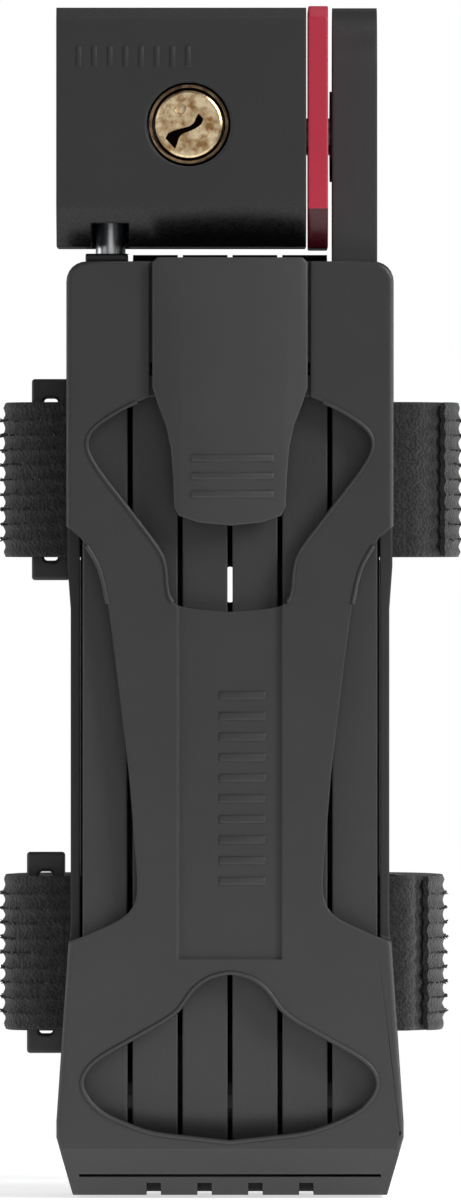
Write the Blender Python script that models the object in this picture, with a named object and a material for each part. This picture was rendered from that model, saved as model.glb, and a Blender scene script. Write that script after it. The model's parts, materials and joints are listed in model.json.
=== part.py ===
"""Folding bike lock, folded and stored in its frame holster.

Six coated steel bars lie side by side (along X), joined by rivets at alternate ends. The first bar carries the
lock body, the last bar carries the locking pin. The stack stands in a holster that straps to a bicycle frame.

Frame: origin on the holster's back face, midway between its two bolt slots; +X right, +Z up, the front faces -Y.
Sizes below are in millimetres and become metres when a mesh is made.
"""

import math

import bmesh
import bpy
from mathutils import Matrix, Vector

MM = 0.001
FIT_GAP = 0.3  # air left between two pieces that touch in the real object
ROUND = 20  # sides of a small round piece

# Bars
BAR_COUNT = 6
CORE_THICKNESS = 5.0  # hardened steel plate
JACKET_WALL = 0.8  # moulded coating on the plate's two faces
JACKET_EDGE_WALL = 1.1  # the same coating round the plate's edge
BAR_WIDTH = 20.0  # front to back, coating included
BAR_GAP = 0.8  # air between neighbouring bars
PIVOT_SPACING = 126.0  # rivet to rivet
LOWER_PIVOT_Z = 12.0 - PIVOT_SPACING / 2
UPPER_PIVOT_Z = LOWER_PIVOT_Z + PIVOT_SPACING
RIVET_D = 6.0
RIVET_HEAD_D = 11.0
RIVET_HEAD_HEIGHT = 0.7
RIVET_HOLE_PLAY = 0.3  # radial, between a rivet and the hole it turns in
WASHER_D = 13.0
WASHER_OPENING_D = 14.0  # opening in a jacket round the washer
HEAD_OPENING_D = 12.0  # opening in a jacket round a rivet's head
BACK_THICKNESS = 3.4  # the holster's back plate
HOLSTER_PLAY = 0.6  # between the bars and the holster, each side
CORE_WIDTH = BAR_WIDTH - 2 * (JACKET_EDGE_WALL + FIT_GAP)
JACKET_THICKNESS = CORE_THICKNESS + 2 * (JACKET_WALL + FIT_GAP)
BAR_PITCH = JACKET_THICKNESS + BAR_GAP
BAR_Y = -(BACK_THICKNESS + HOLSTER_PLAY + BAR_WIDTH / 2)
STACK_END_X = (BAR_COUNT - 1) * BAR_PITCH / 2  # middle of the first and of the last bar
STACK_HALF_WIDTH = STACK_END_X + JACKET_THICKNESS / 2

# Lock body
BODY_SIDE = 4.2  # from the faces of the outer bars to the body's two sides
BODY_LEFT_X = -STACK_HALF_WIDTH - BODY_SIDE
BODY_RIGHT_X = STACK_END_X - JACKET_THICKNESS / 2 - BODY_SIDE
BODY_BOTTOM_Z = UPPER_PIVOT_Z + BAR_WIDTH / 2 + 1.1
BODY_TOP_Z = BODY_BOTTOM_Z + 38.2
BODY_FRONT_Y = BAR_Y - BAR_WIDTH / 2 - 5.0
BODY_BACK_Y = BAR_Y + BAR_WIDTH / 2 + 3.0
BODY_CHAMFER = (5.0, 6.2)  # depth and height of the lower chamfers
BODY_TOP_CHAMFER = 1.9
COVER_WALL = 1.2
BAND_THICKNESS = 3.2
BAND_PROUD = 0.25
BODY_PIVOT_Z = BODY_BOTTOM_Z + 17.9
BODY_WASHER_D = 14.6
CASE_INSET = COVER_WALL + FIT_GAP
CASE_RIGHT_X = BODY_RIGHT_X - 0.4
CASE_SIDE_WALL = 3.0  # the case's wall that carries the rivet
RIVET_POCKET_WIDTH = 4.8
RIVET_POCKET_HALF = 6.1
BAND_LEFT_X = BODY_RIGHT_X + FIT_GAP
BAND_RIGHT_X = BAND_LEFT_X + BAND_THICKNESS

# Key cylinder
CYLINDER_X = (BODY_LEFT_X + BODY_RIGHT_X) / 2 + 1.2
CYLINDER_Z = BODY_BOTTOM_Z + 19.5
PLUG_R = 5.5
BARREL_R = PLUG_R + 0.95
BARREL_BORE_R = PLUG_R + FIT_GAP
CYLINDER_BACK_Y = BAR_Y + 0.8
KEYWAY_WIDTH = 1.5
KEYWAY_HEIGHT = 7.4
KEYWAY_WAVE = 0.55
KEYWAY_TILT_DEG = -48.0  # turned from upright
KEYWAY_DEPTH = 10.0
WAFER_COUNT = 3
WAFER_THICKNESS = 0.7
WAFER_PITCH = 2.6
WAFER_SIZE = (2.2, 5.9)  # out from the keyway, and along it

# Bolt and its drive
CAM_R = 4.4
CAM_THICKNESS = 2.0
CAM_FRONT_Y = CYLINDER_BACK_Y + 0.9
CAM_BACK_Y = CAM_FRONT_Y + CAM_THICKNESS
CAM_SCREW_HOLE_R = 1.4
CRANK_R = 3.2  # from the plug's axis to the cam's crank pin
CRANK_PIN_R = 1.1
CRANK_START = math.radians(45.0)  # the crank pin starts this far left of the top
BOLT_THROW = 2 * CRANK_R * math.sin(CRANK_START)
BOLT_PLATE = 2.8
BOLT_FRONT_Y = CAM_BACK_Y + 1.7
BOLT_BACK_Y = BOLT_FRONT_Y + BOLT_PLATE
BOLT_Z = (BODY_BOTTOM_Z + 8.8, BODY_BOTTOM_Z + 11.8)  # the fork's thickness: it passes under the barrel
BOLT_TOP_Z = CYLINDER_Z + 6.2
BOLT_END_X = CYLINDER_X + 5.6
FORK_HALF_WIDTH = 3.8
FORK_SLOT_HALF_WIDTH = 1.8
FORK_TIP = 1.3  # how far the fork's tines reach past the pin's middle
FORK_PLAY = 0.4
HOLLOW_END_GAP = 1.2
MECHANISM_BACK_Y = BODY_BACK_Y - 3.7  # front of the plate that closes the case
CASE_PLATE_THICKNESS = 1.7
CASE_SEAT_Z = (BODY_BOTTOM_Z + 7.9, BODY_TOP_Z - 3.3)  # recess for that plate
CASE_SCREW_HEAD_R = 1.4
CASE_SCREW_PLACES = (
    (BODY_LEFT_X + 6.2, BODY_BOTTOM_Z + 15.5),
    (BODY_LEFT_X + 6.2, BODY_TOP_Z - 5.9),
    (BODY_RIGHT_X - 5.6, BODY_BOTTOM_Z + 10.5),
    (BODY_RIGHT_X - 5.6, BODY_TOP_Z - 5.9),
)

# Locking pin
PIN_X = -STACK_END_X + 0.8  # a little towards the stack from the last bar's middle
PIN_R = 2.4
PIN_NECK_R = 1.5
PIN_FOOT_R = 3.1
PIN_FOOT_HEIGHT = 1.3
PIN_TIP_Z = BODY_BOTTOM_Z + 19.7
PIN_BAR_TOP_Z = BODY_BOTTOM_Z - 4.3
PIN_CAP_HEIGHT = 1.4
SOCKET_R = 3.0
SOCKET_DEPTH_GAP = 0.6
BUSH_R = 4.0
BUSH_HEIGHT = 4.6
NOTCH_TOP_Z = BODY_BOTTOM_Z + 3.7

# Holster
CAVITY_HALF_WIDTH = STACK_HALF_WIDTH + HOLSTER_PLAY
CAVITY_FRONT_Y = -(BACK_THICKNESS + 2 * HOLSTER_PLAY + BAR_WIDTH)
FRONT_WALL = 3.0
FRONT_Y = CAVITY_FRONT_Y - FRONT_WALL
HOLSTER_TOP_Z = BODY_BOTTOM_Z - 2.4
HOLSTER_BOTTOM_Z = LOWER_PIVOT_Z - BAR_WIDTH / 2 - 4.9
HOLSTER_FLOOR = 3.0
HOLSTER_HALF_WIDTH = CAVITY_HALF_WIDTH + 2.0
WAIST_HALF_WIDTH = CAVITY_HALF_WIDTH + 1.5
FOOT_HALF_WIDTH = CAVITY_HALF_WIDTH + 3.6
FOOT_CHAMFER = (5.5, 7.5)  # depth and height
PANEL_RECESS = 0.8
PANEL_HALF_WIDTH = 8.3
SIDE_WINDOW_BACK_Y = -8.0
DRAIN_COUNT = 4
DRAIN_PITCH = 8.16
DRAIN_SIZE = (2.3, 2.0)
CORNER_REACH = 3.0  # how far from a window's corner its rounding starts
HOLSTER_CORNER_R = 3.2  # at the top
BOLT_SLOT_SPACING = 64.0  # the spacing of bottle bosses
BOLT_SLOT = (5.4, 5.8)  # width for an M5 bolt, and length
SCREW_R = 0.8
SCREW_HEAD_R = 1.2
SCREW_HEAD_HEIGHT = 1.0
SCREW_LENGTH = 7.0
SCREW_HEIGHTS = (HOLSTER_TOP_Z - 11.7, HOLSTER_BOTTOM_Z + 15.9)
WINDOW_STRETCH = PIVOT_SPACING / 126.0  # the windows were drawn for 126 mm bars
WINDOW_SPREAD = CAVITY_HALF_WIDTH / 24.2  # and for a cavity of this half width

# Release tab
TAB_THICKNESS = 2.9
TAB_GAP = 0.5
TAB_PIVOT_Z = HOLSTER_TOP_Z - 17.2
TAB_PIN_R = 0.8
TAB_LUG_R = 1.5
TAB_LUG_X = (5.0, 10.5)
TAB_HALF_WIDTH = 12.4
TAB_TOP_Z = HOLSTER_TOP_Z + 0.6
TAB_BACK_Y = FRONT_Y + 0.7
TAB_FRONT_Y = TAB_BACK_Y - TAB_THICKNESS
TAB_PIVOT_Y = CAVITY_FRONT_Y - FRONT_WALL / 2
TAB_POCKET_SIDE_GAP = 0.5
TAB_POCKET_BOTTOM_Z = TAB_PIVOT_Z - 4.5
TAB_SPRING_R = 1.45
TAB_SPRING_WIRE_R = 0.22
TAB_SPRING_TURNS = 4

# Straps
STRAP_WIDTH = 25.0
STRAP_THICKNESS = 2.0
STRAP_TAIL_THICKNESS = 1.5
STRAP_HEIGHTS = {"upper": HOLSTER_TOP_Z - 34.7, "lower": HOLSTER_BOTTOM_Z + 38.3}  # middle of each strap
STRAP_LEFT_X = {"upper": CAVITY_HALF_WIDTH + 11.8, "lower": CAVITY_HALF_WIDTH + 11.8}
STRAP_RIGHT_X = {"upper": CAVITY_HALF_WIDTH + 10.8, "lower": CAVITY_HALF_WIDTH + 8.2}
STRAP_REACH_Y = 38.0  # how far the loop goes behind the holster
STRAP_WALL = 1.0  # plate left behind the strap
BUCKLE_SIZE = (6.2, 2.4, 32.6)
BUCKLE_BAR = 2.0
BUCKLE_X = {"upper": -CAVITY_HALF_WIDTH - 4.8, "lower": -CAVITY_HALF_WIDTH - 5.6}
BUCKLE_Y = 4.4


def bar_x(number):
    """Middle of a bar; bar 1 is at the right."""
    return ((BAR_COUNT + 1) / 2 - number) * BAR_PITCH


PALETTE = {
    "holster_black": ((0.045, 0.045, 0.047), 0.55, 0.0),
    "cover_black": ((0.030, 0.030, 0.032), 0.65, 0.0),
    "jacket_grey": ((0.050, 0.050, 0.052), 0.50, 0.0),
    "tab_grey": ((0.062, 0.062, 0.064), 0.45, 0.0),
    "accent_red": ((0.520, 0.050, 0.075), 0.40, 0.0),
    "strap_black": ((0.012, 0.012, 0.013), 0.95, 0.0),
    "hardened_steel": ((0.420, 0.420, 0.430), 0.32, 1.0),
    "bright_steel": ((0.720, 0.720, 0.730), 0.18, 1.0),
    "cylinder_brass": ((0.600, 0.410, 0.200), 0.28, 1.0),
    "spring_steel": ((0.500, 0.500, 0.510), 0.25, 1.0),
}


def clear_scene():
    for obj in list(bpy.data.objects):
        bpy.data.objects.remove(obj, do_unlink=True)


def material(name):
    found = bpy.data.materials.get(name)
    if found:
        return found
    colour, roughness, metallic = PALETTE[name.split("__")[-1]]
    found = bpy.data.materials.new(name)
    found.use_nodes = True
    shader = found.node_tree.nodes["Principled BSDF"]
    shader.inputs["Base Color"].default_value = (*colour, 1.0)
    shader.inputs["Roughness"].default_value = roughness
    shader.inputs["Metallic"].default_value = metallic
    return found


def add_object(name, mesh_data, finish=None, smooth=False):
    """An object from a bmesh in millimetres. With no finish it is a cutter or another helper."""
    bmesh.ops.recalc_face_normals(mesh_data, faces=mesh_data.faces)
    mesh = bpy.data.meshes.new(name)
    mesh_data.transform(Matrix.Scale(MM, 4))
    mesh_data.to_mesh(mesh)
    mesh_data.free()
    obj = bpy.data.objects.new(name, mesh)
    bpy.context.scene.collection.objects.link(obj)
    if finish:
        mesh.materials.append(material(f"{name}__{finish}"))
    else:
        obj.hide_render = True
        obj.display_type = "WIRE"
    if smooth:
        mesh.shade_smooth()
        mesh.set_sharp_from_angle(angle=math.radians(40))
    return obj


def spread(axis, first, second, along):
    """A point from its place along an axis and its two other coordinates, in X, Y, Z order."""
    return {
        "X": Vector((along, first, second)),
        "Y": Vector((first, along, second)),
        "Z": Vector((first, second, along)),
    }[axis]


def prism(name, axis, outline, low, high, finish=None):
    """An outline, in the plane across an axis, extruded along it."""
    made = bmesh.new()
    corners = [made.verts.new(spread(axis, u, v, low)) for u, v in outline]
    face = made.faces.new(corners)
    grown = bmesh.ops.extrude_face_region(made, geom=[face])["geom"]
    raised = [item for item in grown if isinstance(item, bmesh.types.BMVert)]
    bmesh.ops.translate(made, verts=raised, vec=spread(axis, 0, 0, high - low))
    return add_object(name, made, finish)


def block(name, low, high, finish=None):
    outline = [(low[0], low[1]), (high[0], low[1]), (high[0], high[1]), (low[0], high[1])]
    return prism(name, "Z", outline, low[2], high[2], finish)


def turned(name, axis, centre, profile, finish=None, sides=ROUND):
    """A turned piece: profile points are (place along the axis, radius). A ring's profile is closed."""
    made = bmesh.new()
    ring = min(radius for _, radius in profile) > 0
    angle = 2 * math.pi / sides
    rows = []
    for place, radius in profile:
        if radius == 0:
            rows.append([made.verts.new(spread(axis, *centre, place))] * sides)
            continue
        rows.append(
            [
                made.verts.new(
                    spread(
                        axis,
                        centre[0] + radius * math.cos(angle * (step + 0.5)),
                        centre[1] + radius * math.sin(angle * (step + 0.5)),
                        place,
                    )
                )
                for step in range(sides)
            ]
        )
    pairs = list(zip(rows, rows[1:] + rows[:1] if ring else rows[1:]))
    for near, far in pairs:
        for step in range(sides):
            after = (step + 1) % sides
            corners = [near[step], near[after], far[after], far[step]]
            made.faces.new(list(dict.fromkeys(corners)))
    return add_object(name, made, finish, smooth=bool(finish))


def rod(name, axis, centre, radius, low, high, finish=None, sides=ROUND):
    profile = [(low, 0), (low, radius), (high, radius), (high, 0)]
    return turned(name, axis, centre, profile, finish, sides)


def washer(name, axis, centre, inner, outer, low, high, finish=None, sides=ROUND):
    profile = [(low, inner), (low, outer), (high, outer), (high, inner)]
    return turned(name, axis, centre, profile, finish, sides)


def combine(obj, others, operation="DIFFERENCE"):
    for other in others:
        step = obj.modifiers.new(other.name, "BOOLEAN")
        step.operation = operation
        step.solver = "EXACT"
        step.object = other


def mirrored(half):
    """A closed outline from its right half, given from top to bottom."""
    return [(u, v) for u, v in half] + [(-u, v) for u, v in reversed(half) if u > 0]


def arc(centre, radius, start_deg, end_deg, steps):
    return [
        (
            centre[0] + radius * math.cos(math.radians(start_deg + (end_deg - start_deg) * k / steps)),
            centre[1] + radius * math.sin(math.radians(start_deg + (end_deg - start_deg) * k / steps)),
        )
        for k in range(steps + 1)
    ]


def softened(points, kept=1):
    """A half outline with round corners, apart from its first few points and its last one."""
    soft = list(points[:kept])
    for before, corner, after in zip(points[kept - 1 :], points[kept:], points[kept + 1 :]):
        start, end = (
            [c + (o - c) * min(CORNER_REACH / math.dist(corner, other), 0.5) for c, o in zip(corner, other)]
            for other in (before, after)
        )
        for t in (0.0, 0.35, 0.65, 1.0):
            weights = ((1 - t) ** 2, 2 * t * (1 - t), t**2)
            point = tuple(sum(w * p for w, p in zip(weights, way)) for way in zip(start, corner, end))
            if math.dist(point, soft[-1]) > 0.05:
                soft.append(point)
    return [*soft, points[-1]]


BODIES = {}


def body(name, pivot, parent=None):
    """An empty on a moving body's joint axis. The body's pieces are parented to it."""
    empty = bpy.data.objects.new(name, None)
    bpy.context.scene.collection.objects.link(empty)
    place = Vector(pivot) * MM
    empty.location = place - (BODIES[parent][1] if parent else Vector((0, 0, 0)))
    empty.parent = BODIES[parent][0] if parent else None
    BODIES[name] = (empty, place)


def join(body_name, *pieces):
    """Put pieces on a body, each with its origin on the body's joint axis."""
    empty, place = BODIES[body_name]
    for piece in pieces:
        piece.data.transform(Matrix.Translation(-place))
        piece.parent = empty


# ---------------------------------------------------------------- bars


def bar_outline(half_width, low_centre_z, top_z, round_top):
    """A bar seen from the side, in (Y, Z): a half-round foot and a round or a flat top."""
    steps = 8
    low = arc((BAR_Y, low_centre_z), half_width, 180, 360, steps)
    if round_top:
        return low + arc((BAR_Y, top_z - half_width), half_width, 0, 180, steps)
    return low + [(BAR_Y + half_width, top_z), (BAR_Y - half_width, top_z)]


def bar_top(number):
    """Top of a bar, coating included."""
    if number == 1:
        return BODY_TOP_Z + 0.4
    return PIN_BAR_TOP_Z if number == BAR_COUNT else UPPER_PIVOT_Z + BAR_WIDTH / 2


def hinge_height(number):
    """Height of the rivet between a bar and the next one."""
    return LOWER_PIVOT_Z if number % 2 else UPPER_PIVOT_Z


def make_bar(number):
    x, top = bar_x(number), bar_top(number)
    has_round_top = number < BAR_COUNT
    edge = JACKET_EDGE_WALL + FIT_GAP
    core_top = top - edge if has_round_top else top
    core = prism(
        f"bar_{number}_core",
        "X",
        bar_outline(CORE_WIDTH / 2, LOWER_PIVOT_Z, core_top, has_round_top),
        x - CORE_THICKNESS / 2,
        x + CORE_THICKNESS / 2,
        "hardened_steel",
    )
    jacket = prism(
        f"bar_{number}_jacket",
        "X",
        bar_outline(BAR_WIDTH / 2, LOWER_PIVOT_Z, top, has_round_top),
        x - JACKET_THICKNESS / 2,
        x + JACKET_THICKNESS / 2,
        "jacket_grey",
    )
    inner = BAR_WIDTH / 2 - JACKET_EDGE_WALL
    # the pin end of the last jacket is open, so its hollow runs out at the top
    hollow_top = top - JACKET_EDGE_WALL if has_round_top else top + 1
    hollow = prism(
        f"bar_{number}_hollow",
        "X",
        bar_outline(inner, LOWER_PIVOT_Z, hollow_top, has_round_top),
        x - CORE_THICKNESS / 2 - FIT_GAP,
        x + CORE_THICKNESS / 2 + FIT_GAP,
    )
    combine(jacket, [hollow])
    return core, jacket


def rivet_profile(low_core_face, high_core_face):
    """A rivet along X that clamps what lies between two outer core faces."""
    low, high = low_core_face - FIT_GAP, high_core_face + FIT_GAP
    head, shank = RIVET_HEAD_D / 2, RIVET_D / 2
    return [
        (low - RIVET_HEAD_HEIGHT, 0),
        (low - RIVET_HEAD_HEIGHT, head - 0.5),
        (low, head),
        (low, shank),
        (high, shank),
        (high, head),
        (high + RIVET_HEAD_HEIGHT, head - 0.5),
        (high + RIVET_HEAD_HEIGHT, 0),
    ]


def make_hinge(number, bars):
    """The rivet and the spacer between a bar and the next one, and the holes for them."""
    z, right_x, left_x = hinge_height(number), bar_x(number), bar_x(number + 1)
    half_core, half_jacket = CORE_THICKNESS / 2, JACKET_THICKNESS / 2
    centre = (BAR_Y, z)
    hole_r = RIVET_D / 2 + RIVET_HOLE_PLAY
    rivet = turned(
        f"bar_rivet_{number}",
        "X",
        centre,
        rivet_profile(left_x - half_core, right_x + half_core),
        "bright_steel",
    )
    spacer = washer(
        f"bar_washer_{number}",
        "X",
        centre,
        hole_r,
        WASHER_D / 2,
        left_x + half_core + FIT_GAP,
        right_x - half_core - FIT_GAP,
        "jacket_grey",
    )
    far_left, far_right = left_x - half_jacket - 1, right_x + half_jacket + 1
    hole = rod(f"rivet_hole_{number}", "X", centre, hole_r, far_left, far_right)
    opening_profile = [
        (far_left, 0),
        (far_left, HEAD_OPENING_D / 2),
        (left_x, HEAD_OPENING_D / 2),
        (left_x, WASHER_OPENING_D / 2),
        (right_x, WASHER_OPENING_D / 2),
        (right_x, HEAD_OPENING_D / 2),
        (far_right, HEAD_OPENING_D / 2),
        (far_right, 0),
    ]
    opening = turned(f"jacket_opening_{number}", "X", centre, opening_profile)
    for bar in (number, number + 1):
        core, jacket = bars[bar]
        combine(core, [hole])
        combine(jacket, [opening])
    return rivet, spacer


def make_locking_pin():
    """A steel pin on a foot that is welded to the last bar's top, with a neck for the bolt's fork."""
    foot = PIN_BAR_TOP_Z + FIT_GAP
    shoulder = foot + PIN_FOOT_HEIGHT
    neck_low, neck_high = BOLT_Z[0] - 0.5, BOLT_Z[1] + 0.5
    profile = [
        (foot, 0),
        (foot, PIN_FOOT_R),
        (shoulder, PIN_FOOT_R),
        (shoulder, PIN_R),
        (neck_low, PIN_R),
        (neck_low, PIN_NECK_R),
        (neck_high, PIN_NECK_R),
        (neck_high, PIN_R),
        (PIN_TIP_Z - 1.2, PIN_R),
        (PIN_TIP_Z, PIN_R - 1.2),
        (PIN_TIP_Z, 0),
    ]
    centre = (PIN_X, BAR_Y)
    pin = turned("locking_pin", "Z", centre, profile, "bright_steel", 24)
    cap_low = shoulder + FIT_GAP
    cap_left = bar_x(BAR_COUNT) - JACKET_THICKNESS / 2 + 0.4
    cap_right = bar_x(BAR_COUNT) + JACKET_THICKNESS / 2
    cap = block(
        "locking_pin_cap",
        (cap_left, BAR_Y - 6, cap_low),
        (cap_right, BAR_Y + 6, cap_low + PIN_CAP_HEIGHT),
        "jacket_grey",
    )
    combine(cap, [rod("cap_hole", "Z", centre, PIN_R + FIT_GAP, cap_low - 1, cap_low + PIN_CAP_HEIGHT + 1)])
    return pin, cap


# ----------------------------------------------------------- lock body


def body_outline(inset):
    """The lock body seen from the side, in (Y, Z), drawn in by an inset from its outer skin."""
    front, back = BODY_FRONT_Y + inset, BODY_BACK_Y - inset
    low, high = BODY_BOTTOM_Z + inset, BODY_TOP_Z - inset
    depth, height = BODY_CHAMFER
    # keeps the wall about the inset thick on the sloping faces too
    slope = inset * 0.5
    top = BODY_TOP_CHAMFER
    return [
        (front, low + height - slope),
        (front + depth - slope, low),
        (back - depth + slope, low),
        (back, low + height - slope),
        (back, high - top),
        (back - top, high),
        (front + top, high),
        (front, high - top),
    ]


def cylinder_centre():
    return (CYLINDER_X, CYLINDER_Z)


def pin_notch(name, margin):
    """The slot at the front of the body's foot, through which the pin shows."""
    half = SOCKET_R + margin
    return block(
        name,
        (PIN_X - half, BODY_FRONT_Y - 1, BODY_BOTTOM_Z - 1),
        (PIN_X + half, BAR_Y + 0.37, NOTCH_TOP_Z + margin),
    )


def make_covers():
    """The soft cover is two trays, split halfway through the body's depth."""
    split = (BODY_FRONT_Y + BODY_BACK_Y) / 2
    half_gap = FIT_GAP / 2
    halves = []
    for name, keep_front in (("body_cover_front", True), ("body_cover_rear", False)):
        cover = prism(name, "X", body_outline(0), BODY_LEFT_X, BODY_RIGHT_X, "cover_black")
        hollow = prism(
            f"{name}_hollow",
            "X",
            body_outline(COVER_WALL),
            BODY_LEFT_X + COVER_WALL,
            BODY_RIGHT_X + 1,
        )
        low_y = split - half_gap if keep_front else BODY_FRONT_Y - 1
        high_y = BODY_BACK_Y + 1 if keep_front else split + half_gap
        other_half = block(
            f"{name}_other_half",
            (BODY_LEFT_X - 1, low_y, BODY_BOTTOM_Z - 1),
            (BODY_RIGHT_X + 1, high_y, BODY_TOP_Z + 1),
        )
        socket = rod(
            f"{name}_socket", "Z", (PIN_X, BAR_Y), SOCKET_R + 0.4, BODY_BOTTOM_Z - 1, BODY_BOTTOM_Z + 4
        )
        cutters = [hollow, other_half, socket]
        if keep_front:
            cutters.append(pin_notch(f"{name}_notch", 0.0))
            cutters.append(
                rod(
                    f"{name}_cylinder_hole",
                    "Y",
                    cylinder_centre(),
                    BARREL_R + 2 * FIT_GAP - 0.2,
                    BODY_FRONT_Y - 1,
                    BODY_FRONT_Y + 4,
                    sides=32,
                )
            )
        combine(cover, cutters)
        halves.append(cover)
    return halves


def make_band():
    band = prism(
        "accent_band", "X", body_outline(-BAND_PROUD), BAND_LEFT_X, BAND_RIGHT_X, "accent_red"
    )
    hole = rod(
        "band_hole", "X", (BAR_Y, BODY_PIVOT_Z), RIVET_D / 2 + 0.5, BAND_LEFT_X - 1, BAND_RIGHT_X + 1
    )
    combine(band, [hole])
    return band


def bolt_shapes():
    """The fork's outline in (X, Y), and the crank slot's place."""
    left = PIN_X - FORK_TIP
    slot_end = PIN_X + 3.2
    right = slot_end + 2.4
    slot, half = FORK_SLOT_HALF_WIDTH, FORK_HALF_WIDTH
    fork = [
        (left, BAR_Y - half),
        (right, BAR_Y - half),
        (right, BOLT_BACK_Y),
        (slot_end, BOLT_BACK_Y),
        (slot_end - 1.5, BAR_Y + half),
        (left, BAR_Y + half),
        (left, BAR_Y + slot),
        (slot_end, BAR_Y + slot),
        (slot_end, BAR_Y - slot),
        (left, BAR_Y - slot),
    ]
    crank_x = CYLINDER_X - CRANK_R * math.sin(CRANK_START)
    crank_z = CYLINDER_Z + CRANK_R * math.cos(CRANK_START)
    return fork, right, crank_x, crank_z


def make_bolt():
    fork, right, crank_x, crank_z = bolt_shapes()
    bolt = prism("locking_bolt", "Z", fork, *BOLT_Z, "bright_steel")
    plate = block(
        "bolt_plate",
        (right - 2.0, BOLT_FRONT_Y, BOLT_Z[0]),
        (BOLT_END_X, BOLT_BACK_Y, BOLT_TOP_Z),
    )
    side, end = CRANK_PIN_R + 0.35, CRANK_PIN_R + 0.4
    slot = block(
        "crank_slot",
        (crank_x - side, BOLT_FRONT_Y - 1, crank_z - end),
        (crank_x + side, BOLT_BACK_Y + 1, CYLINDER_Z + CRANK_R + end),
    )
    combine(bolt, [plate], "UNION")
    combine(bolt, [slot])
    return bolt


def make_cam():
    """A disc screwed to the plug's back, with a crank pin that drives the bolt."""
    _, _, crank_x, crank_z = bolt_shapes()
    cam = rod("cylinder_cam", "Y", cylinder_centre(), CAM_R, CAM_FRONT_Y, CAM_BACK_Y, "hardened_steel")
    crank = rod(
        "crank_pin", "Y", (crank_x, crank_z), CRANK_PIN_R, CAM_FRONT_Y + 0.5, BOLT_BACK_Y + 0.3, sides=12
    )
    hole = rod("cam_hole", "Y", cylinder_centre(), CAM_SCREW_HOLE_R, CAM_FRONT_Y - 1, CAM_BACK_Y + 1, sides=12)
    combine(cam, [crank], "UNION")
    combine(cam, [hole])
    screw_profile = [
        (CYLINDER_BACK_Y - 3.2, 0),
        (CYLINDER_BACK_Y - 3.2, 1.0),
        (CAM_BACK_Y + FIT_GAP, 1.0),
        (CAM_BACK_Y + FIT_GAP, 1.6),
        (CAM_BACK_Y + 1.3, 1.4),
        (CAM_BACK_Y + 1.3, 0),
    ]
    screw = turned("cam_screw", "Y", cylinder_centre(), screw_profile, "bright_steel", 12)
    return cam, screw


def keyway_outline():
    """A wavy slot across the plug's face, in (X, Z)."""
    steps = 10
    tilt = Matrix.Rotation(math.radians(KEYWAY_TILT_DEG), 2)
    sides = []
    for side in (1, -1):
        run = []
        for step in range(steps + 1):
            along = KEYWAY_HEIGHT * (step / steps - 0.5)
            across = side * KEYWAY_WIDTH / 2 + KEYWAY_WAVE * math.sin(2 * math.pi * step / steps)
            turned_point = tilt @ Vector((across, along))
            run.append((CYLINDER_X + turned_point.x, CYLINDER_Z + turned_point.y))
        sides.append(run)
    return sides[0] + sides[1][::-1]


def wafer_outline(play, reach):
    """A wafer beside the keyway, or with some play its slot, in (X, Z), square to the keyway's length."""
    tilt = Matrix.Rotation(math.radians(KEYWAY_TILT_DEG), 2)
    near = KEYWAY_WIDTH / 2 + KEYWAY_WAVE + 0.5
    half = WAFER_SIZE[1] / 2 + play
    corners = [(near - play, -half), (near + reach, -half), (near + reach, half), (near - play, half)]
    points = [tilt @ Vector(corner) for corner in corners]
    return [(CYLINDER_X + point.x, CYLINDER_Z + point.y) for point in points]


def make_cylinder():
    front = BODY_FRONT_Y + 0.3
    barrel = washer(
        "cylinder_barrel",
        "Y",
        cylinder_centre(),
        BARREL_BORE_R,
        BARREL_R,
        front,
        CYLINDER_BACK_Y,
        "bright_steel",
        32,
    )
    plug_front = front + 0.2
    profile = [
        (plug_front, 0),
        (plug_front, PLUG_R - 0.3),
        (plug_front + 0.3, PLUG_R),
        (CYLINDER_BACK_Y, PLUG_R),
        (CYLINDER_BACK_Y, 2.2),
        (CYLINDER_BACK_Y + 0.6, 2.2),
        (CYLINDER_BACK_Y + 0.6, 0),
    ]
    plug = turned("cylinder_plug", "Y", cylinder_centre(), profile, "cylinder_brass", 32)
    keyway = prism("keyway", "Y", keyway_outline(), plug_front - 1, plug_front + KEYWAY_DEPTH)
    screw_hole = rod(
        "plug_screw_hole",
        "Y",
        cylinder_centre(),
        CAM_SCREW_HOLE_R,
        CYLINDER_BACK_Y - 3.6,
        CYLINDER_BACK_Y + 1,
        sides=12,
    )
    cutters = [keyway, screw_hole]
    wafers = []
    for count in range(WAFER_COUNT):
        near = plug_front + 1.8 + count * WAFER_PITCH
        wafers.append(
            prism(
                f"cylinder_wafer_{count + 1}",
                "Y",
                wafer_outline(0, WAFER_SIZE[0]),
                near,
                near + WAFER_THICKNESS,
                "cylinder_brass",
            )
        )
        cutters.append(
            prism(
                f"wafer_slot_{count + 1}",
                "Y",
                wafer_outline(FIT_GAP, PLUG_R),  # opens through the plug's side
                near - FIT_GAP,
                near + WAFER_THICKNESS + FIT_GAP,
            )
        )
    combine(plug, cutters)
    return barrel, plug, wafers


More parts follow.
